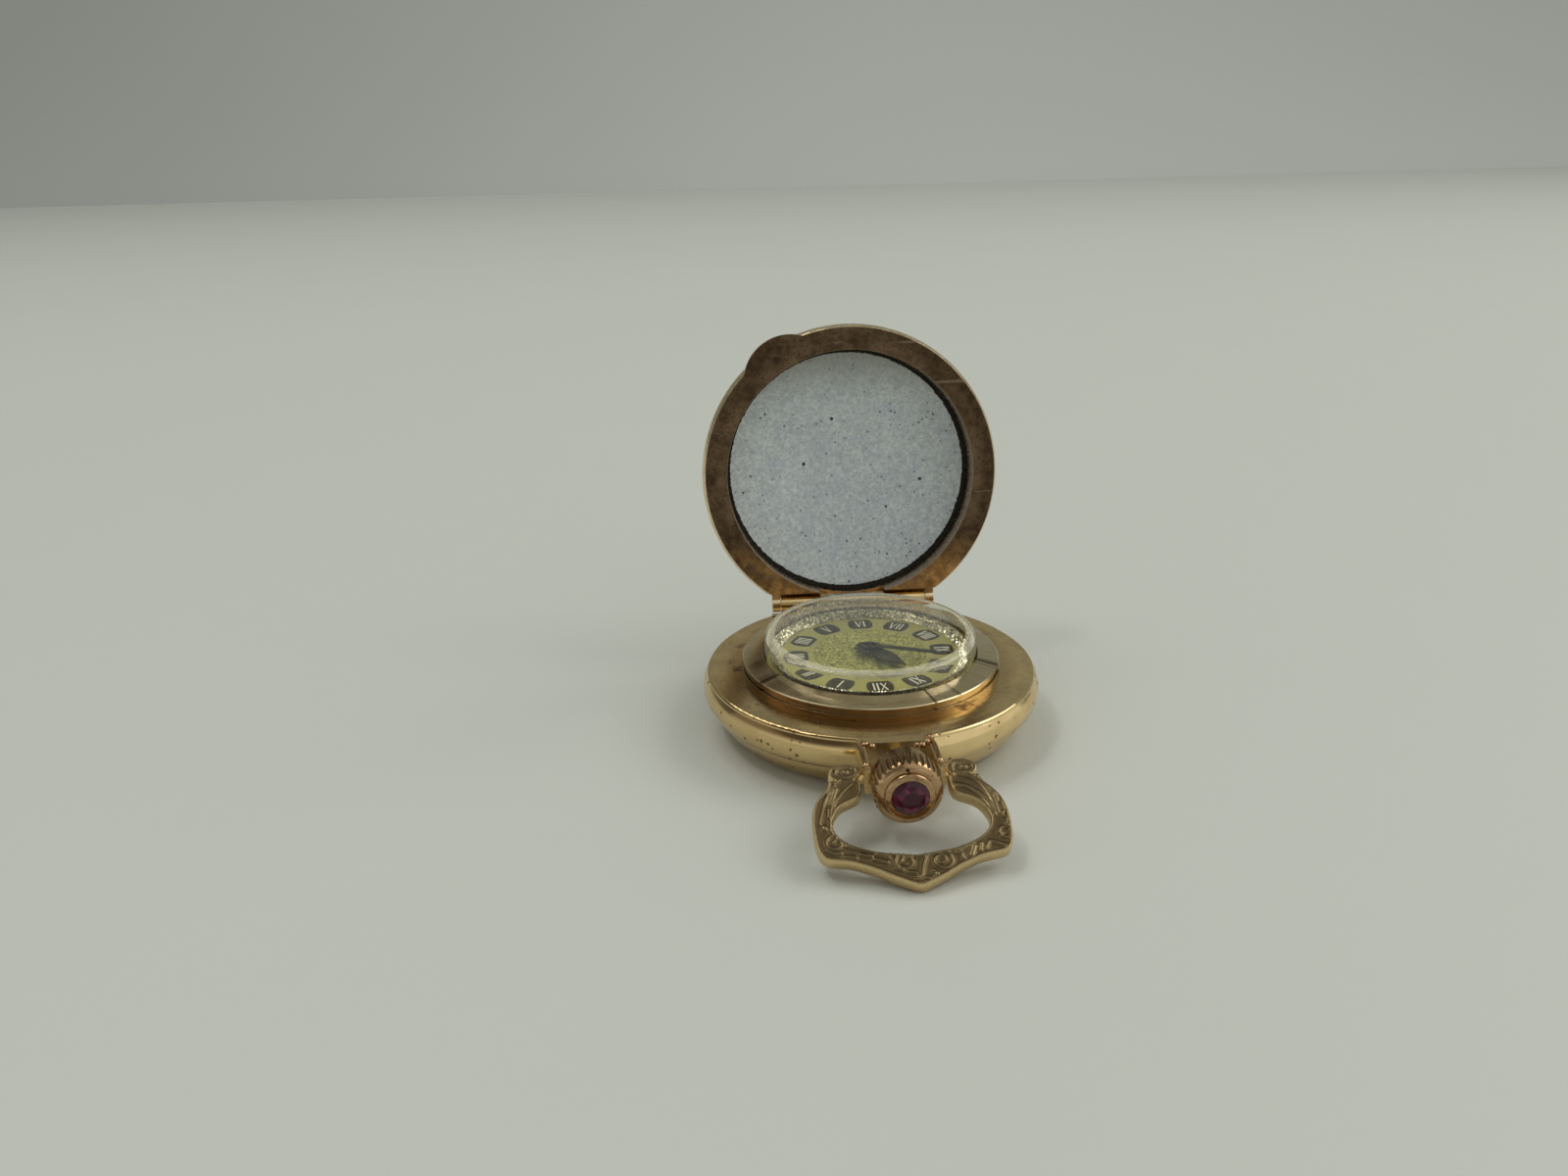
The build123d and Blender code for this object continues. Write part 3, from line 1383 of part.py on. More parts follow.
def make_yoke():
    finger_reach = clutch_start + (clutch_length - clutch_tooth_height) / 2
    pivot = (-yoke_reach, -finger_reach + clutch_travel / 2)
    finger = (0.0, -finger_reach)
    low = max(stem_height + clutch_radius, motion_low() + motion_wheel_height) + motion_gap
    body = link(pivot, finger, yoke_width, low, low + lever_height)
    pin_low = stem_height + clutch_radius - clutch_groove_depth + pivot_gap
    return body + disc(lever_pin_radius, pin_low, low, finger)


def make_setting_lever_spring():
    start = (setting_lever_reach + setting_lever_width, -stem_groove_at + crown_travel)
    end = (setting_lever_reach + setting_lever_width * 2, -stem_groove_at + crown_travel * 4)
    return link(start, end, spring_strip_width * 2, plate_top, lever_low + lever_height)


# Dial and hands
def make_dial():
    return ring(dial_radius, dial_hole_radius, dial_low, dial_top_height)


def make_minute_hand():
    low = hour_hand_low() + hand_thickness + hand_gap
    wide = minute_hand_width / 2
    narrow = minute_hand_width / 6
    blade = prism((
        (-minute_hand_tail, -wide), (0, -wide), (minute_hand_length, -narrow),
        (minute_hand_length, narrow), (0, wide), (-minute_hand_tail, wide),
    ), low, low + hand_thickness)
    blade += disc(hour_pipe_radius, low, low + hand_thickness)
    blade -= disc(cannon_pipe_radius + press_gap, low - overrun, low + overrun)
    return Rot(0, 0, minute_hand_turn) * blade


def make_hour_hand():
    low = hour_hand_low()
    neck = hour_hand_width / 4
    neck_end = hour_hand_neck_share * hour_hand_length
    widest = hour_hand_widest_share * hour_hand_length
    blade = prism((
        (0, -neck), (neck_end, -neck), (widest, -hour_hand_width / 2),
        (hour_hand_length, 0), (widest, hour_hand_width / 2), (neck_end, neck), (0, neck),
    ), low, low + hand_thickness)
    star = []
    for point in range(2 * hour_hub_points):
        reach = hour_hub_radius if point % 2 == 0 else hour_hub_radius * hour_hub_dip_share
        star.append(toward((0, 0), 180 * point / hour_hub_points, reach))
    blade += prism(star, low, low + hand_thickness)
    blade -= disc(hour_pipe_radius + press_gap, low - overrun, low + overrun)
    return Rot(0, 0, hour_hand_turn) * blade


parts = {
    "case_body": make_case_body(),
    "case_back": make_case_back(),
    "back_gasket": make_back_gasket(),
    "bezel": make_bezel(),
    "crystal": make_crystal(),
    "reflector_ring": make_reflector_ring(),
    "pendant_tube": make_pendant_tube(),
    "pendant_collar": make_pendant_collar(),
    "bow_pins": make_bow_pins(),
    "case_hinge_knuckles": make_case_hinge_knuckles(),
    "hinge_pin": make_hinge_pin(),
    "lid_shell": opened(closed_lid_shell()),
    "lid_hinge_knuckles": Compound(children=[opened(piece) for piece in closed_lid_knuckles()]),
    "lid_enamel": make_lid_enamel(),
    "lid_retainer": make_lid_retainer(),
    "bow": make_bow(),
    "crown_shell": make_crown_shell(),
    "stone_setting": make_stone_setting(),
    "crown_stone": make_crown_stone(),
    "winding_stem": make_winding_stem(),
    "crown_seal": make_crown_seal(),
    "winding_pinion": make_winding_pinion(),
    "clutch_wheel": make_clutch_wheel(),
    "mainplate": make_mainplate(),
    "movement_ring": make_movement_ring(),
    "barrel_bridge": make_barrel_bridge(),
    "train_bridge": make_train_bridge(),
    "pallet_bridge": make_pallet_bridge(),
    "balance_cock": make_balance_cock(),
    "bridge_screws": make_bridge_screws(),
    "jewels": make_jewels(),
    "barrel_drum": make_barrel_drum(),
    "barrel_cover": make_barrel_cover(),
    "barrel_arbor": make_barrel_arbor(),
    "mainspring": make_mainspring(),
    "ratchet_wheel": make_ratchet_wheel(),
    "ratchet_screw": make_ratchet_screw(),
    "crown_wheel": make_crown_wheel(),
    "crown_wheel_screw": make_crown_wheel_screw(),
    "click": make_click(),
    "click_spring": make_click_spring(),
    "centre_wheel": make_centre_wheel(),
    "third_wheel": make_third_wheel(),
    "fourth_wheel": make_fourth_wheel(),
    "escape_wheel": make_escape_wheel(),
    "pallet_fork": make_pallet_fork(),
    "balance_wheel": make_balance_wheel(),
    "hairspring": make_hairspring(),
    "regulator": make_regulator(),
    "cannon_pinion": make_cannon_pinion(),
    "hour_wheel": make_hour_wheel(),
    "minute_wheel": make_minute_wheel(),
    "setting_wheel": make_setting_wheel(),
    "motion_studs": make_motion_studs(),
    "setting_lever": make_setting_lever(),
    "setting_lever_spring": make_setting_lever_spring(),
    "yoke": make_yoke(),
    "dial": make_dial(),
    "minute_hand": make_minute_hand(),
    "hour_hand": make_hour_hand(),
}

os.makedirs("parts", exist_ok=True)
for name, shape in parts.items():
    export_step(shape, f"parts/{name}.step")
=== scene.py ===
import json
import math
import random

import bmesh
import bpy
import numpy as np
from mathutils import Matrix, Vector, geometry, noise


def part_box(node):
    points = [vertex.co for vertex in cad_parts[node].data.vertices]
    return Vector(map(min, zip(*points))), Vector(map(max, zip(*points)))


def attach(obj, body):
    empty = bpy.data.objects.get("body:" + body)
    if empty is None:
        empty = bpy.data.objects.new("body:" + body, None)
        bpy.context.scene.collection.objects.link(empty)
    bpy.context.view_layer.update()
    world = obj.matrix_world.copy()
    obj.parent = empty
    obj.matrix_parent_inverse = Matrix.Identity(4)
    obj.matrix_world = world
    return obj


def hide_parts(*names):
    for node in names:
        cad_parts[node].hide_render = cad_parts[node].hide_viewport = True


# A small pendant watch that lies open on its back. The solids come from the frame;
# this script gives them their finishes and adds the cast relief, the printed dial,
# the knurled ring, the cut stone and the worn edges. Sizes are in millimetres.

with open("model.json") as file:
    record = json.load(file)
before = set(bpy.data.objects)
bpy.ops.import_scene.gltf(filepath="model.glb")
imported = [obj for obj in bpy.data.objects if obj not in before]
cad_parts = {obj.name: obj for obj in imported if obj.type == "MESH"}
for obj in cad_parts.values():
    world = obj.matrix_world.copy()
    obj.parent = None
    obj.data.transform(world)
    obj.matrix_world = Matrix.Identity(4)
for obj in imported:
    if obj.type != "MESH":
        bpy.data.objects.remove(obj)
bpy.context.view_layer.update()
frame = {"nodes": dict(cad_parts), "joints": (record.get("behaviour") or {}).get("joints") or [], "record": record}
nodes = frame["nodes"]
joints = {joint["name"]: joint for joint in frame["joints"]}

MM = 0.001
SEED = 7

# Camera, as in the photograph
camera_place = (-13.662, -98.393, 51.231)
camera_heading = -3.541
camera_pitch = 21.2
camera_roll = -1.346
camera_lens = 27.73
camera_sensor = 36.0


# Meshes
class Skin:
    """Points in millimetres and faces, gathered row by row into one piece."""

    def __init__(self):
        self.points = []
        self.faces = []

    def row(self, points):
        """Add points, and give their numbers."""
        first = len(self.points)
        self.points += [Vector(point) for point in points]
        return list(range(first, len(self.points)))

    def band(self, lower, upper):
        """Faces between two closed rows of as many points."""
        for index in range(len(lower)):
            self.faces.append([lower[index - 1], lower[index], upper[index], upper[index - 1]])

    def stack(self, rows):
        """Closed rows one after another, with a face over each end."""
        numbers = [self.row(points) for points in rows]
        for lower, upper in zip(numbers, numbers[1:]):
            self.band(lower, upper)
        self.faces += [numbers[0], numbers[-1]]

    def loop(self, rows):
        """Closed rows one after another, with the last joined to the first."""
        numbers = [self.row(points) for points in rows]
        for lower, upper in zip(numbers, numbers[1:] + numbers[:1]):
            self.band(lower, upper)

    def piece(self, name, body, slot, material, smooth_angle=None, instead_of=None):
        """A named piece with its faces turned out, which rides on a body and may replace a node."""
        mesh = bpy.data.meshes.new(name)
        mesh.from_pydata([point * MM for point in self.points], [], self.faces)
        mesh.validate()
        work = bmesh.new()
        work.from_mesh(mesh)
        bmesh.ops.recalc_face_normals(work, faces=work.faces)
        work.to_mesh(mesh)
        work.free()
        if smooth_angle is not None:
            mesh.shade_smooth()
            mesh.set_sharp_from_angle(angle=math.radians(smooth_angle))
        piece = bpy.data.objects.new(name, mesh)
        bpy.context.scene.collection.objects.link(piece)
        mesh.materials.append(material)
        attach(piece, body)
        if instead_of:
            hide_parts(instead_of)
        return piece


def millimetre_box(node):
    low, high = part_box(node)
    return low / MM, high / MM


def around(angle, radius):
    turn = math.radians(angle)
    return Vector((radius * math.cos(turn), radius * math.sin(turn)))


def level(outline, height):
    """An outline's points at a height."""
    return [(point[0], point[1], height) for point in outline]


def circle(radius, height, count):
    return level([around(360 * step / count, radius) for step in range(count)], height)


def smooth_curve(points, steps):
    """Points of a smooth curve that passes through the given points."""
    ends = [2 * points[0] - points[1]] + list(points) + [2 * points[-1] - points[-2]]
    curve = []
    for first in range(len(points) - 1):
        before, start, stop, after = ends[first:first + 4]
        for step in range(steps):
            t = step / steps
            curve.append(0.5 * (
                2 * start + (stop - before) * t
                + (2 * before - 5 * start + 4 * stop - after) * t ** 2
                + (3 * start - before - 3 * stop + after) * t ** 3
            ))
    curve.append(points[-1])
    return curve


# Shader nodes
class Recipe:
    """A tree of shader nodes. An input is a plain value or another node's socket."""

    def __init__(self, tree):
        self.tree = tree

    def give(self, socket, value):
        if isinstance(value, bpy.types.NodeSocket):
            self.tree.links.new(value, socket)
        else:
            socket.default_value = value

    def node(self, kind, inputs=None, **settings):
        made = self.tree.nodes.new("ShaderNode" + kind)
        for name, value in settings.items():
            setattr(made, name, value)
        for name, value in (inputs or {}).items():
            self.give(made.inputs[name], value)
        return made

    def work_out(self, operation, *values):
        made = self.node("Math", operation=operation)
        for socket, value in zip(made.inputs, values):
            self.give(socket, value)
        return made.outputs[0]

    def times(self, first, *others):
        for other in others:
            first = self.work_out("MULTIPLY", first, other)
        return first

    def plus(self, first, *others):
        for other in others:
            first = self.work_out("ADD", first, other)
        return first

    def other_than(self, mask):
        """Where a mask isn't."""
        return self.work_out("SUBTRACT", 1.0, mask)

    def either(self, masks):
        """Where any of the masks is."""
        found = masks[0]
        for mask in masks[1:]:
            found = self.work_out("MAXIMUM", found, mask)
        return found

    def held(self, value):
        """A value kept within 0 and 1."""
        return self.node("Clamp", {"Value": value}).outputs[0]

    def vector(self, operation, *values, result="Vector"):
        made = self.node("VectorMath", operation=operation)
        for socket, value in zip(made.inputs, values):
            self.give(socket, value)
        return made.outputs[result]

    def ease(self, value, low, high, to_low=0.0, to_high=1.0):
        """A value eased from one range to another, held at the ends."""
        return self.node("MapRange", {
            "Value": value, "From Min": low, "From Max": high, "To Min": to_low, "To Max": to_high,
        }, interpolation_type="SMOOTHSTEP").outputs["Result"]

    def mix(self, share, first, second):
        made = self.node("Mix", data_type="RGBA")
        self.give(made.inputs["Factor"], share)
        for socket, colour in ((made.inputs[6], first), (made.inputs[7], second)):
            self.give(socket, colour if isinstance(colour, bpy.types.NodeSocket) else (*colour, 1.0))
        return made.outputs[2]

    def tint(self, colour, shade, mask, share):
        """A colour turned towards a shade, by a share of the mask."""
        return self.mix(self.times(mask, share), colour, shade)

    def place(self):
        """The place on the piece, in millimetres, which moves with the piece."""
        return self.vector("MULTIPLY", self.node("TexCoord").outputs["Object"], (1 / MM, 1 / MM, 1 / MM))

    def normal(self):
        return self.node("TexCoord").outputs["Normal"]

    def along(self, axis, vector):
        return self.node("SeparateXYZ", {"Vector": vector}).outputs[axis]

    def join(self, **parts):
        return self.node("CombineXYZ", parts).outputs["Vector"]

    def length(self, vector):
        return self.vector("LENGTH", vector, result="Value")

    def dot(self, first, second):
        return self.vector("DOT_PRODUCT", first, second, result="Value")

    def noise_at(self, vector, scale, **more):
        return self.node("TexNoise", {"Vector": vector, "Scale": scale, **more})

    def chips(self, vector, scale):
        """Cells of random colour, whose red, green and blue are three chances."""
        cells = self.node("TexVoronoi", {"Vector": vector, "Scale": scale})
        return cells, self.node("SeparateColor", {"Color": cells.outputs["Color"]}).outputs

    def effect(self, name, output=0, **values):
        made = self.node("Group")
        made.node_tree = bpy.data.node_groups[name]
        for label, value in values.items():
            self.give(made.inputs[label], value)
        return made.outputs[output]

    def blotches(self, scale, cover, softness):
        return self.effect("blotches", Scale=scale, Cover=cover, Softness=softness)

    def pits(self, spacing, size, share):
        return self.effect("pits", Spacing=spacing, Size=size, Share=share)

    def scratches(self, scale, fineness):
        return self.effect("scratches", Scale=scale, Fineness=fineness)

    def edges(self, radius):
        return self.effect("edges", Radius=radius)


class Finish(Recipe):
    """A material with one Principled shader, whose plain values are set on it."""

    def __init__(self, name, metallic=0.0, **constants):
        self.material = bpy.data.materials.new(name)
        self.material.use_nodes = True
        super().__init__(self.material.node_tree)
        self.tree.nodes.clear()
        self.shader = self.node("BsdfPrincipled")
        result = self.node("OutputMaterial")
        self.tree.links.new(self.shader.outputs["BSDF"], result.inputs["Surface"])
        self.shader.inputs["Metallic"].default_value = metallic
        for label, value in constants.items():
            self.shader.inputs[label.replace("_", " ")].default_value = value

    def bumped(self, height, depth, rounding=0.0):
        """A normal from a height of 0 to 1 that stands for a depth in millimetres."""
        bump = self.node("Bump", {"Height": height, "Distance": depth * MM})
        if rounding:
            soft = self.node("Bevel", {"Radius": rounding * MM}, samples=4)
            self.give(bump.inputs["Normal"], soft.outputs["Normal"])
        return bump.outputs["Normal"]

    def dented(self, depth_share, depth, rounding=0.0):
        return self.bumped(self.times(depth_share, -1.0), depth, rounding)

    def finished(self, colour, rough=None, normal=None, alpha=None):
        for label, value in (("Base Color", colour), ("Roughness", rough), ("Normal", normal),
                             ("Alpha", alpha)):
            if value is not None:
                self.give(self.shader.inputs[label], value)
        return self.material


# Effects that the finishes share
pit_core_share = 0.6


def new_effect(name, inputs, outputs):
    """An empty node group as a recipe, with its own input and output sockets."""
    group = bpy.data.node_groups.new(name, "ShaderNodeTree")
    for label, default in inputs.items():
        socket = group.interface.new_socket(name=label, in_out="INPUT", socket_type="NodeSocketFloat")
        socket.default_value = default
    for label in outputs:
        group.interface.new_socket(name=label, in_out="OUTPUT", socket_type="NodeSocketFloat")
    return Recipe(group), group.nodes.new("NodeGroupInput").outputs, group.nodes.new("NodeGroupOutput").inputs


def make_blotches():
    """Soft irregular patches: Scale in patches per millimetre, Cover as the threshold."""
    group, given, made = new_effect("blotches", {"Scale": 1.0, "Cover": 0.5, "Softness": 0.1}, ["Mask"])
    cloud = group.noise_at(group.place(), given["Scale"], Detail=5.0, Roughness=0.62)
    low = group.work_out("SUBTRACT", given["Cover"], given["Softness"])
    high = group.plus(given["Cover"], given["Softness"])
    group.give(made["Mask"], group.ease(cloud.outputs["Fac"], low, high))


def make_pits():
    """Scattered round pits of random size: Spacing and Size in millimetres, Share of places pitted."""
    group, given, made = new_effect("pits", {"Spacing": 1.0, "Size": 0.1, "Share": 0.3}, ["Mask"])
    place = group.place()
    wobble = group.noise_at(place, 6.0, Detail=2.0).outputs["Color"]
    moved = group.vector("ADD", place, group.vector("MULTIPLY", wobble, (0.06, 0.06, 0.06)))
    cells, chance = group.chips(moved, group.work_out("DIVIDE", 1.0, given["Spacing"]))
    away = group.times(cells.outputs["Distance"], given["Spacing"])
    radius = group.times(chance["Red"], given["Size"])
    inside_pit = group.ease(away, radius, group.times(radius, pit_core_share))
    chosen = group.work_out("LESS_THAN", chance["Green"], given["Share"])
    group.give(made["Mask"], group.times(inside_pit, chosen))


def make_scratches():
    """Thin handling scratches that cross each other: Scale in scratches per millimetre."""
    group, given, made = new_effect("scratches", {"Scale": 1.0, "Fineness": 0.62}, ["Mask"])
    place = group.place()
    masks = []
    for turn, stretch in ((25.0, 0.05), (-40.0, 0.07), (75.0, 0.06)):
        angle = math.radians(turn)
        turned = group.node("Mapping", {"Vector": place, "Rotation": (angle, angle / 2, angle),
                                        "Scale": (stretch, 1.0, 1.0)})
        lines = group.noise_at(turned.outputs["Vector"], given["Scale"], Detail=2.0)
        masks.append(group.ease(lines.outputs["Fac"], given["Fineness"], group.plus(given["Fineness"], 0.04)))
    group.give(made["Mask"], group.either(masks))


def make_edges():
    """Where the piece has an outer edge within Radius millimetres, rubbed bright in the real one."""
    group, given, made = new_effect("edges", {"Radius": 0.1}, ["Mask"])
    rounded = group.node("Bevel", {"Radius": group.times(given["Radius"], MM)}, samples=4)
    flat = group.node("NewGeometry").outputs["Normal"]
    match = group.dot(rounded.outputs["Normal"], flat)
    group.give(made["Mask"], group.ease(group.other_than(match), 0.02, 0.2))


def make_axis_place():
    """Distance from the upright turning axis, in millimetres, and the share of a full turn round it."""
    group, _, made = new_effect("axis place", {}, ["Radius", "Turn"])
    place = group.place()
    group.give(made["Radius"], group.length(group.vector("MULTIPLY", place, (1.0, 1.0, 0.0))))
    turn = group.work_out("ARCTAN2", group.along("Y", place), group.along("X", place))
    group.give(made["Turn"], group.work_out("DIVIDE", turn, 2 * math.pi))


def make_turning_marks():
    """Fine rings left by a lathe round the upright axis: Lines per millimetre of radius."""
    group, given, made = new_effect("turning marks", {"Lines": 12.0}, ["Height"])
    out = group.times(group.effect("axis place", "Radius"), given["Lines"])
    rings = group.noise_at(group.join(X=out), 1.0, Detail=2.0)
    group.give(made["Height"], rings.outputs["Fac"])


def make_glitter():
    """Random chances for chips, from which glints are painted one by one: Scale in chips per millimetre, three
    chances for each.
    """
    group, given, made = new_effect("glitter", {"Scale": 6.5}, ["First", "Second", "Third"])
    chance = group.chips(group.place(), given["Scale"])[1]
    for label, colour in (("First", "Red"), ("Second", "Green"), ("Third", "Blue")):
        group.give(made[label], chance[colour])


make_blotches()
make_pits()
make_scratches()
make_edges()
make_axis_place()
make_turning_marks()
make_glitter()


# Black dots in the enamel of the open lid: x and height of each, and its radius
enamel_dots = ((-1.31, 23.47, 0.2), (-4.21, 19.14, 0.2), (7.4, 17.32, 0.19), (3.99, 14.59, 0.16),
               (-9.56, 18.34, 0.13), (-10.36, 16.79, 0.13), (-6.67, 9.29, 0.11), (3.51, 24.05, 0.1),
               (10.38, 14.22, 0.11), (0.76, 10.19, 0.1), (7.21, 10.98, 0.12), (3.93, 10.01, 0.12),
               (-7.89, 24.3, 0.1), (1.96, 26.04, 0.1))

# Pits in the case's side: turn from +X, height and radius of each
side_pits = ((-0.4306, 4.37, 0.17), (-0.4132, 3.87, 0.14), (-0.3768, 3.80, 0.13),
             (-0.3722, 3.85, 0.20), (-0.3645, 3.81, 0.17), (-0.3603, 3.48, 0.12),
             (-0.3412, 3.89, 0.18), (-0.3443, 2.82, 0.15), (-0.3356, 3.48, 0.22),
             (-0.3311, 2.67, 0.16), (-0.1452, 4.88, 0.15), (-0.1510, 3.91, 0.20),
             (-0.1582, 3.43, 0.15), (-0.1474, 2.33, 0.13), (-0.1245, 3.21, 0.12))
case_round = 2 * math.pi * 15


# Finishes. Radii are from the upright axis, or from the middle of the lid for the lid.
# Radii between which the flange is darkened towards the bezel's foot, by painted shade and tarnish
flange_darkest_radius = 12.0
flange_undarkened_radius = 13.4
ripple_last_radius = 13.9
flange_last_radius = 14.3
# X positions over which the case's side is given painted shade, deepest to the left
side_painted_shade_deepest_x = -9.0
side_painted_shade_start_x = 4.0
lid_well_radius = 12.0
lid_rubbed_radius = 12.2
lid_rubbed_last_radius = 13.6
lid_orange_height = 7.5
lid_orange_last_height = 13.5
# Where the lid's ring grows lighter towards the upper left
lid_lighter_from = 18.0
lid_lighter_to = 36.0
# Heights over which the enamel is given painted shade towards its top
enamel_shade_height = 25.0
enamel_dark_height = 30.0
hammered_radius = 5.1
brass_stripe = 0.9
# Where the painted reflection in the crystal's wall fades in towards the far side
painted_reflection_near = 2.0
painted_reflection_far = 7.0
dot_core_share = 0.7


def crown_gold():
    """The crown and its collar: rose gold with cloudy tarnish, dark pits and rubbed edges."""
    gold = Finish("crown_gold", metallic=1.0)
    rose = (0.50, 0.33, 0.17)
    cloud = gold.blotches(0.35, 0.5, 0.2)
    stain = gold.blotches(1.6, 0.62, 0.07)
    pit = gold.pits(1.1, 0.26, 0.3)
    line = gold.scratches(5.0, 0.66)
    colour = gold.mix(cloud, rose, (0.37, 0.23, 0.115))
    colour = gold.tint(colour, (0.18, 0.10, 0.05), stain, 0.7)
    colour = gold.tint(colour, rose, gold.edges(0.12), 0.6)
    colour = gold.mix(pit, colour, (0.03, 0.02, 0.012))
    rough = gold.plus(0.1, gold.times(stain, 0.2), gold.times(line, 0.08), gold.times(pit, 0.4))
    low = gold.plus(pit, gold.times(line, 0.06))
    return gold.finished(colour, gold.held(rough), gold.dented(low, 0.04, 0.05))


def case_side_pits(gold, turn, place):
    """The pits that the photograph shows, set out on the case's side as if it were unrolled."""
    sideways, upward = 0.2, 0.2
    wobble = gold.noise_at(place, 4.0, Detail=2.0).outputs["Color"]
    unrolled = gold.join(X=gold.times(turn, case_round), Y=gold.along("Z", place))
    unrolled = gold.vector("ADD", unrolled, gold.vector("MULTIPLY", wobble, (sideways, upward, 0.0)))
    found = []
    for pit_turn, height, size in side_pits:
        middle = (pit_turn * case_round + sideways / 2, height + upward / 2, 0.0)
        away = gold.length(gold.vector("SUBTRACT", unrolled, middle))
        found.append(gold.ease(away, size, size * pit_core_share))
    return found


def case_gold():
    """The case: pale gold round its pitted side, with a polished olive-gold flange on top."""
    gold = Finish("case_gold", metallic=1.0)
    place = gold.place()
    radius = gold.effect("axis place", "Radius")
    turn = gold.effect("axis place", "Turn")
    facing = gold.along("Z", gold.normal())
    flange = gold.ease(facing, 0.8, 0.98)
    side = gold.other_than(flange)
    bezel_foot_shade_and_tarnish = gold.times(flange, gold.ease(radius, flange_undarkened_radius, flange_darkest_radius))
    cloud = gold.blotches(0.22, 0.5, 0.18)
    fine = gold.blotches(1.5, 0.52, 0.16)
    stain = gold.blotches(0.45, 0.6, 0.06)
    line = gold.scratches(4.0, 0.66)

    olive = gold.mix(cloud, (0.80, 0.59, 0.29), (0.62, 0.45, 0.21))
    olive = gold.tint(olive, (0.44, 0.30, 0.13), fine, 0.3)
    # Painted shade and reflection of the bezel wall darken the flange towards the bezel's foot; the tarnish
    # patches there are the flange's own.
    olive = gold.tint(olive, (0.36, 0.22, 0.09), bezel_foot_shade_and_tarnish, 0.45)
    tarnish = gold.times(stain, bezel_foot_shade_and_tarnish)
    olive = gold.mix(tarnish, olive, (0.13, 0.07, 0.03))

    bright = gold.mix(cloud, (0.83, 0.63, 0.32), (0.70, 0.51, 0.24))
    # Painted shade: the side grows darker towards the left.
    painted_shade_leftward = gold.ease(gold.along("X", place), side_painted_shade_start_x, side_painted_shade_deepest_x)
    bright = gold.tint(bright, (0.48, 0.34, 0.15), painted_shade_leftward, 0.45)
    # Painted dark reflection on the shoulder of the side at the front left.
    shoulder = gold.times(gold.ease(facing, 0.25, 0.5), side)
    painted_dark_reflection_front_left = gold.times(gold.ease(turn, -0.46, -0.40), gold.ease(turn, -0.25, -0.30))
    bright = gold.tint(bright, (0.17, 0.10, 0.04), gold.times(shoulder, painted_dark_reflection_front_left), 0.9)

    scattered = gold.pits(0.95, 0.28, 0.45)
    eaten = gold.times(gold.pits(0.7, 0.2, 0.6), gold.times(stain, side))
    pit = gold.either([scattered, eaten] + case_side_pits(gold, turn, place))
    pit = gold.times(pit, gold.ease(flange, 0.0, 1.0, 1.0, 0.25))
    colour = gold.mix(flange, bright, olive)
    colour = gold.tint(colour, (0.92, 0.76, 0.46), gold.edges(0.1), 0.6)
    colour = gold.tint(colour, (0.10, 0.055, 0.02), pit, 0.8)
    rough = gold.plus(gold.ease(flange, 0.0, 1.0, 0.13, 0.19), gold.times(fine, 0.05),
                      gold.times(tarnish, 0.15), gold.times(pit, 0.3))
    rippled = gold.ease(radius, flange_last_radius, ripple_last_radius)
    ripple = gold.times(gold.effect("turning marks", Lines=2.2), flange, rippled)
    low = gold.plus(gold.times(pit, 0.7), gold.times(line, 0.015), gold.times(ripple, 0.35))
    return gold.finished(colour, gold.held(rough), gold.dented(low, 0.03, 0.05))


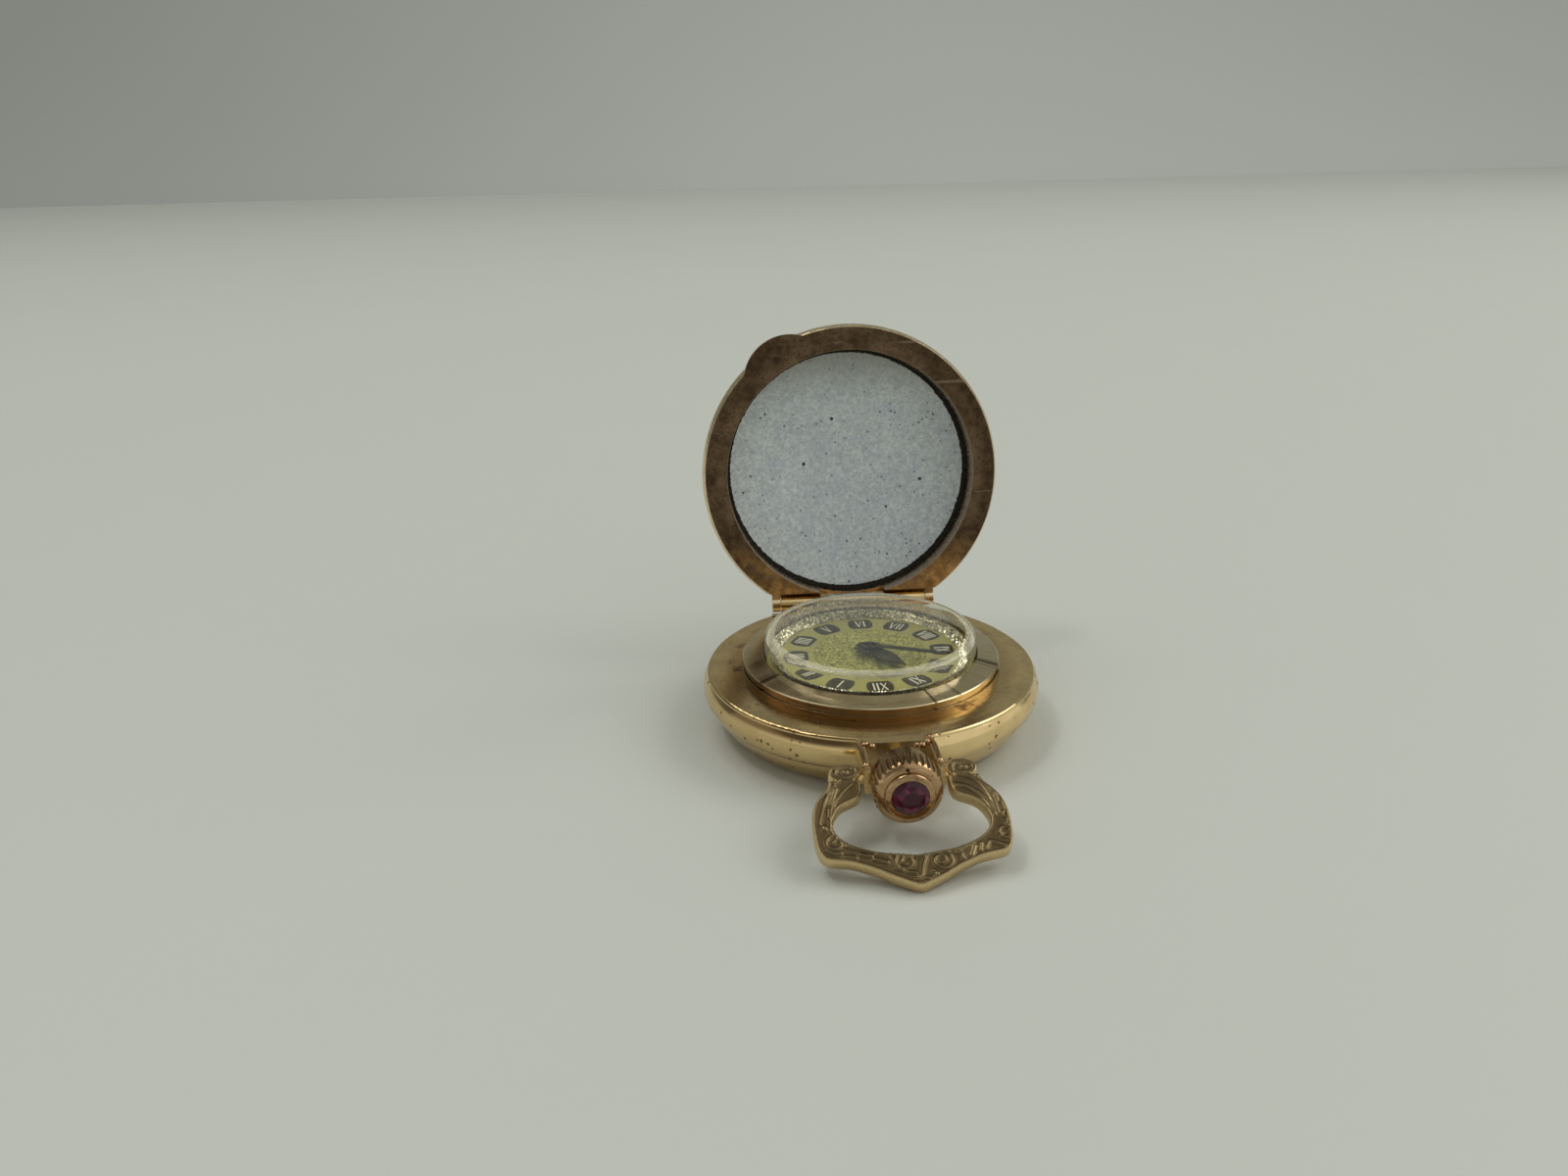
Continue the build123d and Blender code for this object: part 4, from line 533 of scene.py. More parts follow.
def lid_gold():
    """The lid: a dark tarnished ring inside, a paler well and bright gold outside."""
    gold = Finish("lid_gold", metallic=1.0)
    place = gold.place()
    across = gold.along("X", place)
    height = gold.along("Z", place)
    face = gold.ease(gold.dot(gold.normal(), tuple(lid_facing)), 0.93, 0.99)
    offset = gold.vector("SUBTRACT", place, tuple(lid_centre))
    away = gold.length(gold.vector("CROSS_PRODUCT", offset, tuple(lid_facing)))
    well = gold.times(gold.work_out("LESS_THAN", away, lid_well_radius), gold.other_than(face))
    broad = gold.blotches(0.25, 0.52, 0.12)
    mottle = gold.blotches(1.1, 0.52, 0.12)
    fine = gold.blotches(3.5, 0.55, 0.1)
    pit = gold.pits(1.1, 0.16, 0.3)
    line = gold.scratches(1.6, 0.7)

    dark = gold.mix(mottle, (0.105, 0.068, 0.037), (0.058, 0.035, 0.019))
    rubbed = gold.times(gold.ease(away, lid_rubbed_last_radius, lid_rubbed_radius),
                        gold.plus(gold.times(broad, 0.7), gold.times(fine, 0.3)))
    dark = gold.tint(dark, (0.25, 0.165, 0.095), rubbed, 0.75)
    # The ring grows lighter towards the upper left, in broad patches.
    lighter_to_upper_left = gold.ease(gold.work_out("SUBTRACT", height, across), lid_lighter_from, lid_lighter_to)
    dark = gold.tint(dark, (0.22, 0.145, 0.08), gold.times(lighter_to_upper_left, broad), 0.5)
    dark = gold.tint(dark, (0.035, 0.02, 0.011), fine, 0.55)
    orange = gold.mix(mottle, (0.56, 0.31, 0.105), (0.32, 0.17, 0.06))
    near_hinge = gold.ease(gold.plus(height, gold.times(broad, 3.0)), lid_orange_last_height,
                           lid_orange_height)
    ring = gold.mix(near_hinge, dark, orange)

    outside = gold.mix(mottle, (0.80, 0.65, 0.42), (0.70, 0.54, 0.33))
    colour = gold.mix(face, gold.mix(well, outside, (0.46, 0.32, 0.19)), ring)
    colour = gold.tint(colour, (0.60, 0.46, 0.28), gold.edges(0.14), 0.5)
    colour = gold.tint(colour, (0.42, 0.32, 0.22), line, 0.3)
    colour = gold.tint(colour, (0.03, 0.02, 0.015), pit, 0.8)
    rough = gold.plus(gold.ease(face, 0.0, 1.0, 0.2, 0.32), gold.times(fine, 0.12), gold.times(line, -0.1))
    low = gold.plus(pit, gold.times(fine, 0.12))
    return gold.finished(colour, gold.held(rough), gold.dented(low, 0.03, 0.06))


# Cuts across the bezel's slope: place in turns from +X, and half their width in turns
bezel_cuts = ((-0.4233, 0.003), (-0.4195, 0.0012), (-0.1932, 0.0016), (-0.1915, 0.0009), (-0.1561, 0.0012),
              (-0.1590, 0.0008), (-0.0583, 0.006), (-0.0690, 0.0012), (0.31, 0.0015), (0.18, 0.002))


def bezel_gold():
    """The bezel: rose gold turned on a lathe and polished in broad strokes across its slope."""
    gold = Finish("bezel_gold", metallic=1.0)
    turn = gold.effect("axis place", "Turn")
    stroke = gold.noise_at(gold.join(X=gold.times(turn, 46.0)), 1.0, Detail=3.0, Roughness=0.7)
    streak = gold.ease(stroke.outputs["Fac"], 0.35, 0.65)
    colour = gold.mix(gold.blotches(0.25, 0.5, 0.2), (0.66, 0.54, 0.34), (0.58, 0.465, 0.285))
    colour = gold.tint(colour, (0.38, 0.30, 0.165), streak, 0.35)
    wall = gold.ease(gold.along("Z", gold.normal()), 0.4, 0.15)
    # On the upright wall, a painted lamp reflection in gold at the front right; the rest of the wall is dark
    # brown. The mask named gilt marks this painted reflection.
    gilt = gold.times(gold.ease(turn, -0.20, -0.16), gold.ease(turn, -0.02, -0.07))
    colour = gold.mix(wall, colour, gold.mix(gilt, (0.26, 0.16, 0.07), (0.66, 0.52, 0.27)))
    gashes = []
    for place, half_width in bezel_cuts:
        away = gold.work_out("ABSOLUTE", gold.work_out("SUBTRACT", turn, place))
        gashes.append(gold.ease(away, half_width, half_width * 0.6))
    gash = gold.times(gold.either(gashes), gold.other_than(wall))
    colour = gold.tint(colour, (0.10, 0.065, 0.03), gash, 0.85)
    colour = gold.mix(gold.pits(1.4, 0.1, 0.15), colour, (0.08, 0.05, 0.03))
    marks = gold.effect("turning marks", Lines=9.0)
    low = gold.plus(gold.times(marks, 0.12), gold.times(streak, 0.15))
    return gold.finished(colour, gold.ease(streak, 0.0, 1.0, 0.16, 0.25), gold.bumped(low, 0.012, 0.04))


def cast_gold():
    """The bow: olive gilt casting, dark on its carved face and brown in the hollows."""
    gold = Finish("cast_gold", metallic=1.0)
    hollow = gold.ease(gold.node("Attribute", attribute_name="hollow").outputs["Fac"], 0.2, 1.0)
    face = gold.node("Attribute", attribute_name="face").outputs["Fac"]
    fine = gold.blotches(4.0, 0.55, 0.15)
    pit = gold.pits(1.0, 0.13, 0.2)
    # The carved face is dark and the walls light: partly patina and polish, partly painted reflection of the dim
    # ceiling above and the pale table in front.
    top = gold.mix(gold.blotches(0.5, 0.5, 0.2), (0.20, 0.15, 0.075), (0.14, 0.103, 0.05))
    colour = gold.mix(face, (0.74, 0.56, 0.29), top)
    colour = gold.tint(colour, (0.20, 0.145, 0.068), fine, 0.2)
    colour = gold.tint(colour, (0.60, 0.48, 0.28), gold.edges(0.1), 0.15)
    colour = gold.tint(colour, (0.095, 0.064, 0.03), hollow, 0.75)
    colour = gold.mix(pit, colour, (0.06, 0.04, 0.02))
    rough = gold.plus(0.3, gold.times(hollow, 0.14), gold.times(fine, 0.08))
    low = gold.plus(pit, gold.times(fine, 0.1))
    return gold.finished(colour, gold.held(rough), gold.dented(low, 0.03, 0.04))


def enamel_glaze():
    """Counter-enamel: pale blue-grey glaze, curdled, peppered with dark specks and a few black dots."""
    glaze = Finish("enamel_glaze", Coat_Weight=0.3, Coat_Roughness=0.2)
    place = glaze.place()
    cloud = glaze.blotches(0.3, 0.5, 0.16)
    curd = glaze.blotches(1.5, 0.5, 0.09)
    grain = glaze.blotches(3.4, 0.52, 0.09)
    colour = glaze.mix(cloud, (0.68, 0.745, 0.75), (0.60, 0.665, 0.685))
    colour = glaze.tint(colour, (0.54, 0.60, 0.71), glaze.blotches(0.6, 0.56, 0.1), 0.6)
    colour = glaze.tint(colour, (0.46, 0.52, 0.535), curd, 0.45)
    colour = glaze.tint(colour, (0.80, 0.87, 0.87), glaze.blotches(2.3, 0.53, 0.05), 0.35)
    colour = glaze.tint(colour, (0.33, 0.375, 0.40), grain, 0.42)
    # Painted shade: the enamel darkens towards its top, under the overhanging ring.
    shaded_top = glaze.ease(glaze.along("Z", place), enamel_shade_height, enamel_dark_height)
    colour = glaze.tint(colour, (0.24, 0.25, 0.185), shaded_top, 0.6)
    thick = glaze.ease(cloud, 0.0, 1.0, 0.35, 1.0)
    colour = glaze.tint(colour, (0.13, 0.15, 0.19), glaze.pits(0.46, 0.17, 0.42), thick)
    colour = glaze.tint(colour, (0.05, 0.056, 0.075), glaze.pits(0.95, 0.2, 0.3), 0.85)
    bend = 0.16
    wobble = glaze.noise_at(place, 5.0, Detail=1.0).outputs["Color"]
    bent = glaze.vector("ADD", place, glaze.vector("MULTIPLY", wobble, (bend, 0.0, bend)))
    dots = []
    for x, z, size in enamel_dots:
        offset = glaze.vector("SUBTRACT", bent, (x + bend / 2, 0.0, z + bend / 2))
        away = glaze.length(glaze.vector("MULTIPLY", offset, (1.0, 0.0, 1.0)))
        dots.append(glaze.ease(away, size, size * dot_core_share))
    colour = glaze.mix(glaze.either(dots), colour, (0.012, 0.012, 0.014))
    low = glaze.plus(glaze.times(curd, 0.3), glaze.times(grain, 0.15))
    return glaze.finished(colour, glaze.ease(grain, 0.0, 1.0, 0.35, 0.5), glaze.bumped(low, 0.03))


def dial_gilt():
    """The dial: pale greenish gilt, smooth under the numerals and hammered in the middle, with painted glints on
    the hammered chips.
    """
    gilt = Finish("dial_gilt", metallic=0.75)
    radius = gilt.effect("axis place", "Radius")
    turn = gilt.effect("axis place", "Turn")
    middle = gilt.ease(radius, hammered_radius + 0.05, hammered_radius - 0.05)
    chip = gilt.effect("glitter", "First", Scale=5.5)
    spokes = gilt.join(X=gilt.times(turn, 90.0), Y=gilt.times(radius, 0.4))
    rays = gilt.noise_at(spokes, 1.0, Detail=3.0, Roughness=0.7)
    fine = gilt.blotches(5.0, 0.5, 0.2)
    smooth = gilt.mix(fine, (0.50, 0.465, 0.16), (0.41, 0.38, 0.12))
    # Painted glints: each chip of the hammered middle is painted somewhere from dark to bright.
    hammered = gilt.mix(chip, (0.20, 0.19, 0.03), (0.80, 0.76, 0.22))
    relief = gilt.plus(gilt.times(chip, 1.8), gilt.times(rays.outputs["Fac"], 0.8))
    relief = gilt.plus(gilt.times(relief, middle), gilt.times(fine, 0.08))
    return gilt.finished(gilt.mix(middle, smooth, hammered), gilt.ease(middle, 0.0, 1.0, 0.42, 0.2),
                         gilt.bumped(relief, 0.035))


def clear_acrylic():
    """The crystal: clear acrylic with a breath of yellow and hairline scratches."""
    clear = Finish("clear_acrylic", Transmission_Weight=1.0, IOR=1.38)
    shade = clear.blotches(0.3, 0.5, 0.3)
    return clear.finished(clear.mix(shade, (0.985, 0.985, 0.96), (0.96, 0.96, 0.93)),
                          clear.times(clear.scratches(2.5, 0.68), 0.06))


glitter_grain = 6.5


def sparkling_gilt():
    """The knurled ring, whose diamonds are painted dark and bright one by one as painted glints."""
    gilt = Finish("sparkling_gilt", metallic=1.0)
    chance = gilt.effect("glitter", "First", Scale=glitter_grain)
    colour = gilt.mix(gilt.ease(chance, 0.35, 0.85), (0.27, 0.24, 0.13), (0.84, 0.80, 0.62))
    return gilt.finished(colour, gilt.ease(gilt.blotches(2.0, 0.5, 0.3), 0.0, 1.0, 0.12, 0.22))


def dark_lacquer(name, colour, brown, rough):
    """Nearly black lacquer that goes brown in patches."""
    lacquer = Finish(name, Specular_IOR_Level=0.12)
    cloud = lacquer.blotches(3.0, 0.52, 0.2)
    shown = lacquer.mix(cloud, colour, brown)
    shown = lacquer.tint(shown, (0.07, 0.055, 0.03), lacquer.edges(0.04), 0.4)
    return lacquer.finished(shown, lacquer.plus(lacquer.times(cloud, 0.15), rough),
                            lacquer.bumped(lacquer.scratches(9.0, 0.64), 0.004))


def cut_ruby():
    """A deep red stone whose facets each get their own tone, the brighter ones painted glints."""
    ruby = Finish("cut_ruby", IOR=1.76, Specular_IOR_Level=0.2)
    facet = ruby.vector("SNAP", ruby.normal(), (0.05, 0.05, 0.05))
    tone = ruby.node("TexWhiteNoise", {"Vector": facet}).outputs["Value"]
    cloud = ruby.blotches(1.4, 0.5, 0.2)
    deep = ruby.mix(cloud, (0.028, 0.002, 0.009), (0.060, 0.006, 0.020))
    return ruby.finished(ruby.mix(ruby.ease(tone, 0.45, 1.0), deep, (0.17, 0.018, 0.055)),
                         ruby.ease(cloud, 0.0, 1.0, 0.05, 0.10))


def worked_steel(name, colour, shade, rough):
    """Steel with a brushed grain, a little oil film and softened edges."""
    steel = Finish(name, metallic=1.0)
    stretched = steel.node("Mapping", {"Vector": steel.place(), "Scale": (1.0, 0.05, 1.0)})
    grain = steel.noise_at(stretched.outputs["Vector"], 30.0, Detail=3.0).outputs["Fac"]
    shown = steel.mix(steel.blotches(0.8, 0.5, 0.25), colour, shade)
    shown = steel.tint(shown, (0.85, 0.84, 0.82), steel.edges(0.05), 0.5)
    return steel.finished(shown, steel.ease(grain, 0.2, 0.8, rough - 0.06, rough + 0.1),
                          steel.bumped(grain, 0.002, 0.03))


def striped_brass(name, colour, shade):
    """Movement brass with broad decorative stripes and a fine brushed grain."""
    brass = Finish(name, metallic=1.0)
    across = brass.along("X", brass.place())
    stripe = brass.ease(brass.work_out("SINE", brass.times(across, 2 * math.pi / brass_stripe)), -1.0, 1.0)
    shown = brass.mix(stripe, colour, shade)
    shown = brass.tint(shown, (0.9, 0.78, 0.52), brass.edges(0.08), 0.6)
    relief = brass.plus(brass.times(stripe, 0.5), brass.times(brass.scratches(14.0, 0.58), 0.2))
    return brass.finished(shown, brass.ease(stripe, 0.0, 1.0, 0.2, 0.38), brass.bumped(relief, 0.01, 0.04))


def seal_rubber():
    """Black rubber with a little dust."""
    rubber = Finish("seal_rubber")
    dust = rubber.blotches(2.0, 0.58, 0.15)
    return rubber.finished(rubber.mix(dust, (0.02, 0.02, 0.02), (0.07, 0.065, 0.06)),
                           rubber.ease(dust, 0.0, 1.0, 0.6, 0.85), rubber.bumped(dust, 0.01))


def print_ink(name, rough, colour, worn, metallic=0.0):
    """Printing ink or gilding on the dial, thin and uneven."""
    ink = Finish(name, metallic=metallic, Specular_IOR_Level=0.15)
    fade = ink.blotches(3.0, 0.55, 0.2)
    return ink.finished(ink.mix(fade, colour, worn), ink.ease(fade, 0.0, 1.0, rough, rough + 0.2))


# How far in from its top edge the crystal's milky band reaches
scuff_width = 0.95


def scuffed_acrylic(top_radius, top):
    """A milky band round the crystal's corner, in a few soft rings that die out inwards and down."""
    milky = Finish("scuffed_acrylic", IOR=1.49)
    cloud = milky.blotches(0.8, 0.5, 0.3)
    line = milky.scratches(4.0, 0.64)
    rings = milky.ease(milky.effect("turning marks", Lines=5.0), 0.42, 0.62, 0.0, 0.16)
    radius = milky.effect("axis place", "Radius")
    fade = milky.ease(radius, top_radius - scuff_width, top_radius - scuff_width + 0.15)
    fall = milky.ease(milky.along("Z", milky.place()), top - 0.65, top - 0.25)
    haze = milky.plus(0.09, milky.times(cloud, 0.08), rings, milky.times(line, 0.08))
    colour = milky.mix(cloud, (0.78, 0.74, 0.56), (0.70, 0.66, 0.48))
    return milky.finished(colour, milky.ease(line, 0.0, 1.0, 0.25, 0.5),
                          alpha=milky.times(haze, milky.times(fade, fall)))


def painted_ring_reflection():
    """A painted reflection of the knurled ring in the crystal's far wall: a clear sheet with bright chips that
    show at the far side.
    """
    clear = Finish("painted_ring_reflection", metallic=0.6)
    bright, tone, dull = (clear.effect("glitter", label, Scale=glitter_grain)
                          for label in ("First", "Second", "Third"))
    # Painted reflection: shown only towards the far side.
    far = clear.ease(clear.along("Y", clear.place()), painted_reflection_near, painted_reflection_far, 0.04, 1.0)
    chip = clear.ease(bright, 0.55, 0.95, 0.16, 0.9)
    colour = clear.mix(tone, (0.98, 0.95, 0.84), (0.70, 0.66, 0.52))
    return clear.finished(colour, clear.ease(dull, 0.0, 1.0, 0.2, 0.5), alpha=clear.times(chip, far))


# The open lid: its middle and the way it faces
lid_open_turn = 98.7
lid_face_height = 5.505
hinge = Vector(joints["lid_hinge"]["pos_m"]) / MM
opening = Matrix.Rotation(math.radians(-lid_open_turn), 3, "X")
lid_facing = opening @ Vector((0, 0, -1))
lid_centre = hinge + opening @ (Vector((0, 0, lid_face_height)) - hinge)

finishes = {
    "polished_gold": case_gold(),
    "aged_gold": lid_gold(),
    "bezel_gold": bezel_gold(),
    "cast_gold": cast_gold(),
    "crown_gold": crown_gold(),
    "steel": worked_steel("polished_steel", (0.62, 0.62, 0.63), (0.50, 0.50, 0.52), 0.2),
    "blued_steel": worked_steel("blued_steel", (0.08, 0.13, 0.34), (0.14, 0.12, 0.30), 0.18),
    "movement_brass": striped_brass("striped_brass", (0.72, 0.60, 0.38), (0.60, 0.48, 0.28)),
    "wheel_brass": striped_brass("wheel_brass", (0.80, 0.64, 0.30), (0.72, 0.56, 0.24)),
    "acrylic": clear_acrylic(),
    "reflector": sparkling_gilt(),
    "dial_gilt": dial_gilt(),
    "dark_hands": dark_lacquer("dark_hands", (0.020, 0.017, 0.009), (0.042, 0.035, 0.018), 0.45),
    "enamel": enamel_glaze(),
    "dark_seat": dark_lacquer("dark_seat", (0.012, 0.011, 0.008), (0.028, 0.024, 0.016), 0.6),
    "ruby": cut_ruby(),
    "seal_rubber": seal_rubber(),
}
for subpart in frame["record"]["subparts"]:
    mesh = nodes[subpart["node"]].data
    mesh.materials.clear()
    mesh.materials.append(finishes[subpart["material_slot"]])


# Printed dial: twelve dark blocks with Roman numerals, tops to the dial's edge
NUMERALS = ("XII", "I", "II", "III", "IIII", "V", "VI", "VII", "VIII", "IX", "X", "XI")
dial_top = millimetre_box("dial")[1].z
block_radius = 6.56
block_half_width = 0.98
block_half_depth = 1.02
block_bulge = 0.17
block_side_steps = 8
print_height = 0.02
numeral_half_height = 0.68
numeral_stroke_half = 0.065
numeral_widest = 1.62
letter_widths = {"I": 0.33, "V": 0.72, "X": 0.72}
letter_lean = 0.36
thin_share = 0.6
# Each stroke of a letter: which way its foot and its head lean, and its share of the full width
letter_strokes = {"I": ((0, 0, 1),), "V": ((0, 1, 1), (0, -1, thin_share)),
                  "X": ((-1, 1, 1), (1, -1, thin_share))}


def hour_turn(hour):
    """The turn round the dial that puts 12 o'clock at -Y and the hours clockwise."""
    return Matrix.Rotation(math.radians(-90 - 30 * hour), 4, "Z")


def block_outline():
    """A barrel-shaped block: straight top and bottom, bowed sides, in its own place at +X."""
    points = []
    for side in (1, -1):
        for step in range(block_side_steps + 1):
            along = 2 * step / block_side_steps - 1
            width = block_half_width + block_bulge * (1 - along ** 2) - block_bulge * along ** 4
            points.append(Vector((block_radius - side * along * block_half_depth, side * -width, 0)))
    return points


def make_dial_blocks():
    skin = Skin()
    for hour in range(12):
        outline = [hour_turn(hour) @ point for point in block_outline()]
        skin.stack([level(outline, height) for height in (dial_top, dial_top + print_height)])
    skin.piece("dial_blocks", "case", "dark_hands",
               print_ink("block_ink", 0.5, (0.024, 0.021, 0.010), (0.042, 0.038, 0.019)))


def make_dial_numerals():
    skin = Skin()
    low = dial_top + print_height
    inner = block_radius - numeral_half_height
    outer = block_radius + numeral_half_height
    for hour, text in enumerate(NUMERALS):
        total = sum(letter_widths[letter] for letter in text)
        squeeze = min(1.0, numeral_widest / total)
        left = total * squeeze / 2
        for letter in text:
            width = letter_widths[letter] * squeeze
            middle = left - width / 2
            lean = width * letter_lean
            for foot_lean, head_lean, share in letter_strokes[letter]:
                foot = Vector((inner, middle + foot_lean * lean, 0))
                head = Vector((outer, middle + head_lean * lean, 0))
                along = (head - foot).normalized()
                aside = Vector((-along.y, along.x, 0)) * numeral_stroke_half * squeeze * share
                corners = [hour_turn(hour) @ corner
                           for corner in (foot + aside, foot - aside, head - aside, head + aside)]
                skin.stack([level(corners, height) for height in (low, low + print_height / 2)])
            left -= width
    skin.piece("dial_numerals", "case", "dial_gilt",
               print_ink("numeral_gilt", 0.4, (0.80, 0.78, 0.62), (0.58, 0.56, 0.42), 0.3))


# Hands: a broad hour hand with a toothed hub, and a straight bar for the minutes
hour_hand_turn = -55.3
minute_hand_turn = -21.6
hub_radius = 1.45
hub_teeth = 11
hub_root_share = 0.74
hour_reach = 4.74
hour_half_width = 0.85
minute_reach = 6.2
minute_half_width = 0.25
minute_tail = 1.05
minute_point = 0.5
boss_radius = 0.7
boss_steps = 28
hand_rise = 0.05
hand_bevel = 0.07


def blade_outline(reach, half_width, widths):
    """A hand's outline from places along it with their shares of the width, to a point at its reach."""
    lower = [(place, -share * half_width) for place, share in widths]
    return lower + [(reach, 0.0)] + [(place, -width) for place, width in reversed(lower)]


def make_hand(name, node, outlines, turn):
    """A thin hand from overlapping outlines, bevelled along its top edge."""
    low, high = millimetre_box(node)
    spin = Matrix.Rotation(math.radians(turn), 2)
    skin = Skin()
    for outline in outlines:
        outline = [Vector(point) for point in outline]
        centre = sum(outline, Vector((0, 0))) / len(outline)
        rows = []
        for height, inset in ((low.z, 0.0), (high.z - hand_rise, 0.0), (high.z, hand_bevel)):
            inward = [(centre - point).normalized() * min(inset, (centre - point).length / 3)
                      for point in outline]
            rows.append(level([spin @ (point + move) for point, move in zip(outline, inward)], height))
        skin.stack(rows)
    skin.piece(name, node, "dark_hands", finishes["dark_hands"], instead_of=node)


def make_hands():
    hub = [around(180 * step / hub_teeth, hub_radius * (1.0 if step % 2 == 0 else hub_root_share))
           for step in range(2 * hub_teeth)]
    pear = blade_outline(hour_reach, hour_half_width, (
        (0.6, 0.8), (1.3, 0.9), (2.0, 1.0), (2.7, 0.86), (3.4, 0.6), (4.1, 0.3)))
    make_hand("hour_hand_pear", "hour_hand", [hub, pear], hour_hand_turn)
    boss = [around(360 * step / boss_steps, boss_radius) for step in range(boss_steps)]
    bar = blade_outline(minute_reach, minute_half_width, (
        (-minute_tail, 0.8), (0.0, 1.0), (minute_reach * 0.55, 1.0), (minute_reach - minute_point, 0.85)))
    make_hand("minute_hand_bar", "minute_hand", [boss, bar], minute_hand_turn)


# Reflector ring: a knurled wall of small diamonds that glitters round the dial
knurl_rows = 7
knurl_columns = 210
knurl_depth = 0.12
knurl_least = 0.2
knurl_lean = 0.6
reflector_foot_radius = 8.0
reflector_top_radius = 8.78
reflector_top_share = 0.6
reflector_lip = 0.02


def make_reflector_knurl():
    low, high = millimetre_box("reflector_ring")
    top = low.z + reflector_top_share * (high.z - low.z)
    chance = random.Random(SEED)
    count = 2 * knurl_columns
    rows = []
    for row in range(knurl_rows + 1):
        share = row / knurl_rows
        radius = reflector_foot_radius + share * (reflector_top_radius - reflector_foot_radius)
        ring = []
        for column in range(count):
            raised = knurl_depth * (knurl_least + (1 - knurl_least) * chance.random())
            raised *= knurl_lean * ((row + column) % 2)
            ring.append((*around(360 * column / count, radius - raised),
                         low.z + share * (top - low.z) + raised))
        rows.append(ring)
    rows += [circle(high.x - reflector_lip, top, count), circle(high.x, low.z, count)]
    skin = Skin()
    skin.loop(rows)
    skin.piece("reflector_knurl", "case", "reflector", finishes["reflector"], instead_of="reflector_ring")


# Seat line: the dark cement that holds the enamel, chipped unevenly along its inner edge, and widened towards one
# side by painted shadow of the lid's ring
seat_steps = 720
seat_front_rise = 3.08
seat_lip = 0.1
seat_least = 0.03
seat_chamfer = 0.03
# The seat's depth over the enamel: its least, what the painted shadow adds towards the upper right, and the chips
seat_depth = 0.02
seat_painted_shadow_depth = 0.13
seat_chip_depth = 0.13
seat_painted_shadow_aim = (0.62, 0.78)
enamel_rim_rise = 3.2
enamel_hollow = 1.36


def opened_point(x, y, rise):
    """A point of the shut lid, at a height above its face, carried round to the open lid."""
    return hinge + opening @ (Vector((x, y, lid_face_height + rise)) - hinge)


def make_seat_line():
    low, high = millimetre_box("lid_enamel")
    enamel_radius = (high.x - low.x) / 2
    low, high = millimetre_box("lid_retainer")
    ring_radius = (high.x - low.x) / 2
    rows = ([], [], [], [], [])
    for step in range(seat_steps):
        aim = around(360 * step / seat_steps, 1.0)
        chipped = abs(noise.noise(Vector((aim.x, aim.y, 1)) * 24))
        chipped += 0.5 * noise.noise(Vector((aim.x, aim.y, 0)) * 60)
        # Painted shadow: the band widens towards the upper right.
        lean = 0.5 + 0.5 * aim.dot(seat_painted_shadow_aim)
        inner = enamel_radius - max(seat_least, seat_depth + seat_painted_shadow_depth * lean
                                    + seat_chip_depth * chipped)
        skin_rise = enamel_rim_rise + enamel_hollow * (1 - (inner / enamel_radius) ** 2)
        section = ((ring_radius, seat_front_rise), (enamel_radius, seat_front_rise + seat_lip),
                   (inner, skin_rise - 0.04), (inner + seat_chamfer, skin_rise + 0.05),
                   (ring_radius, enamel_rim_rise + 0.3))
        for row, (radius, rise) in zip(rows, section):
            row.append(opened_point(radius * aim.x, radius * aim.y, rise))
    skin = Skin()
    skin.loop(list(rows))
    skin.piece("seat_line", "lid", "dark_seat", finishes["dark_seat"], instead_of="lid_retainer")


# Crown stone: a round stone with a small table and two rows of facets
gem_corners = 8
gem_dome = 0.42
gem_table_share = 0.5
gem_break_share = 0.8
gem_break_rise_share = 0.62


def make_crown_gem():
    low, high = millimetre_box("crown_stone")
    radius = (high.x - low.x) / 2
    middle = (low + high) / 2
    skin = Skin()

    def facet_row(count, shift, share, depth):
        """Corners evenly round the stone: their turn in steps, share of its radius and depth."""
        spots = [around(360 * (corner + shift) / count, radius * share) for corner in range(count)]
        return skin.row([(middle.x + spot.x, depth, middle.z + spot.y) for spot in spots])

    many = 2 * gem_corners
    table = facet_row(gem_corners, 0, gem_table_share, low.y)
    breaks = facet_row(gem_corners, 0.5, gem_break_share, low.y + gem_dome * (1 - gem_break_rise_share))
    rim = facet_row(many, 0.5, 1.0, low.y + gem_dome)
    foot = facet_row(many, 0.5, 1.0, high.y)
    skin.faces += [table, foot]
    skin.band(rim, foot)
    for corner in range(gem_corners):
        after = (corner + 1) % gem_corners
        left, middle_rim, right = (rim[(2 * corner + step) % many] for step in range(3))
        skin.faces += [[table[corner], table[after], breaks[corner]],
                       [table[after], breaks[after], breaks[corner]],
                       [breaks[corner], middle_rim, left], [breaks[corner], right, middle_rim],
                       [breaks[corner], breaks[after], right]]
    skin.piece("crown_gem", "crown", "ruby", finishes["ruby"], instead_of="crown_stone")


# Collar: soldered beads and a rolled wire along the edges of its open mouth
collar_beads = ((2.71, -15.2, 5.72, 0.34), (2.36, -15.75, 5.7, 0.27), (1.92, -16.1, 5.62, 0.3),
                (1.5, -15.9, 5.58, 0.2), (2.5, -15.05, 5.7, 0.22), (-1.95, -15.8, 5.56, 0.26),
                (-2.5, -15.5, 5.6, 0.3), (2.86, -18.6, 5.55, 0.32), (-2.86, -18.7, 5.55, 0.28))
collar_bead_dent = 0.12
collar_wire_radius = 0.22
collar_wire_end_share = 0.75
collar_wire_sides = 12
# One side's wire: x, y and how far below the collar's top
collar_wire_route = ((2.62, -15.0, 0.0), (2.86, -15.8, 0.0), (2.9, -17.0, 0.0), (2.88, -18.2, 0.02),
                     (2.84, -19.3, 0.15))


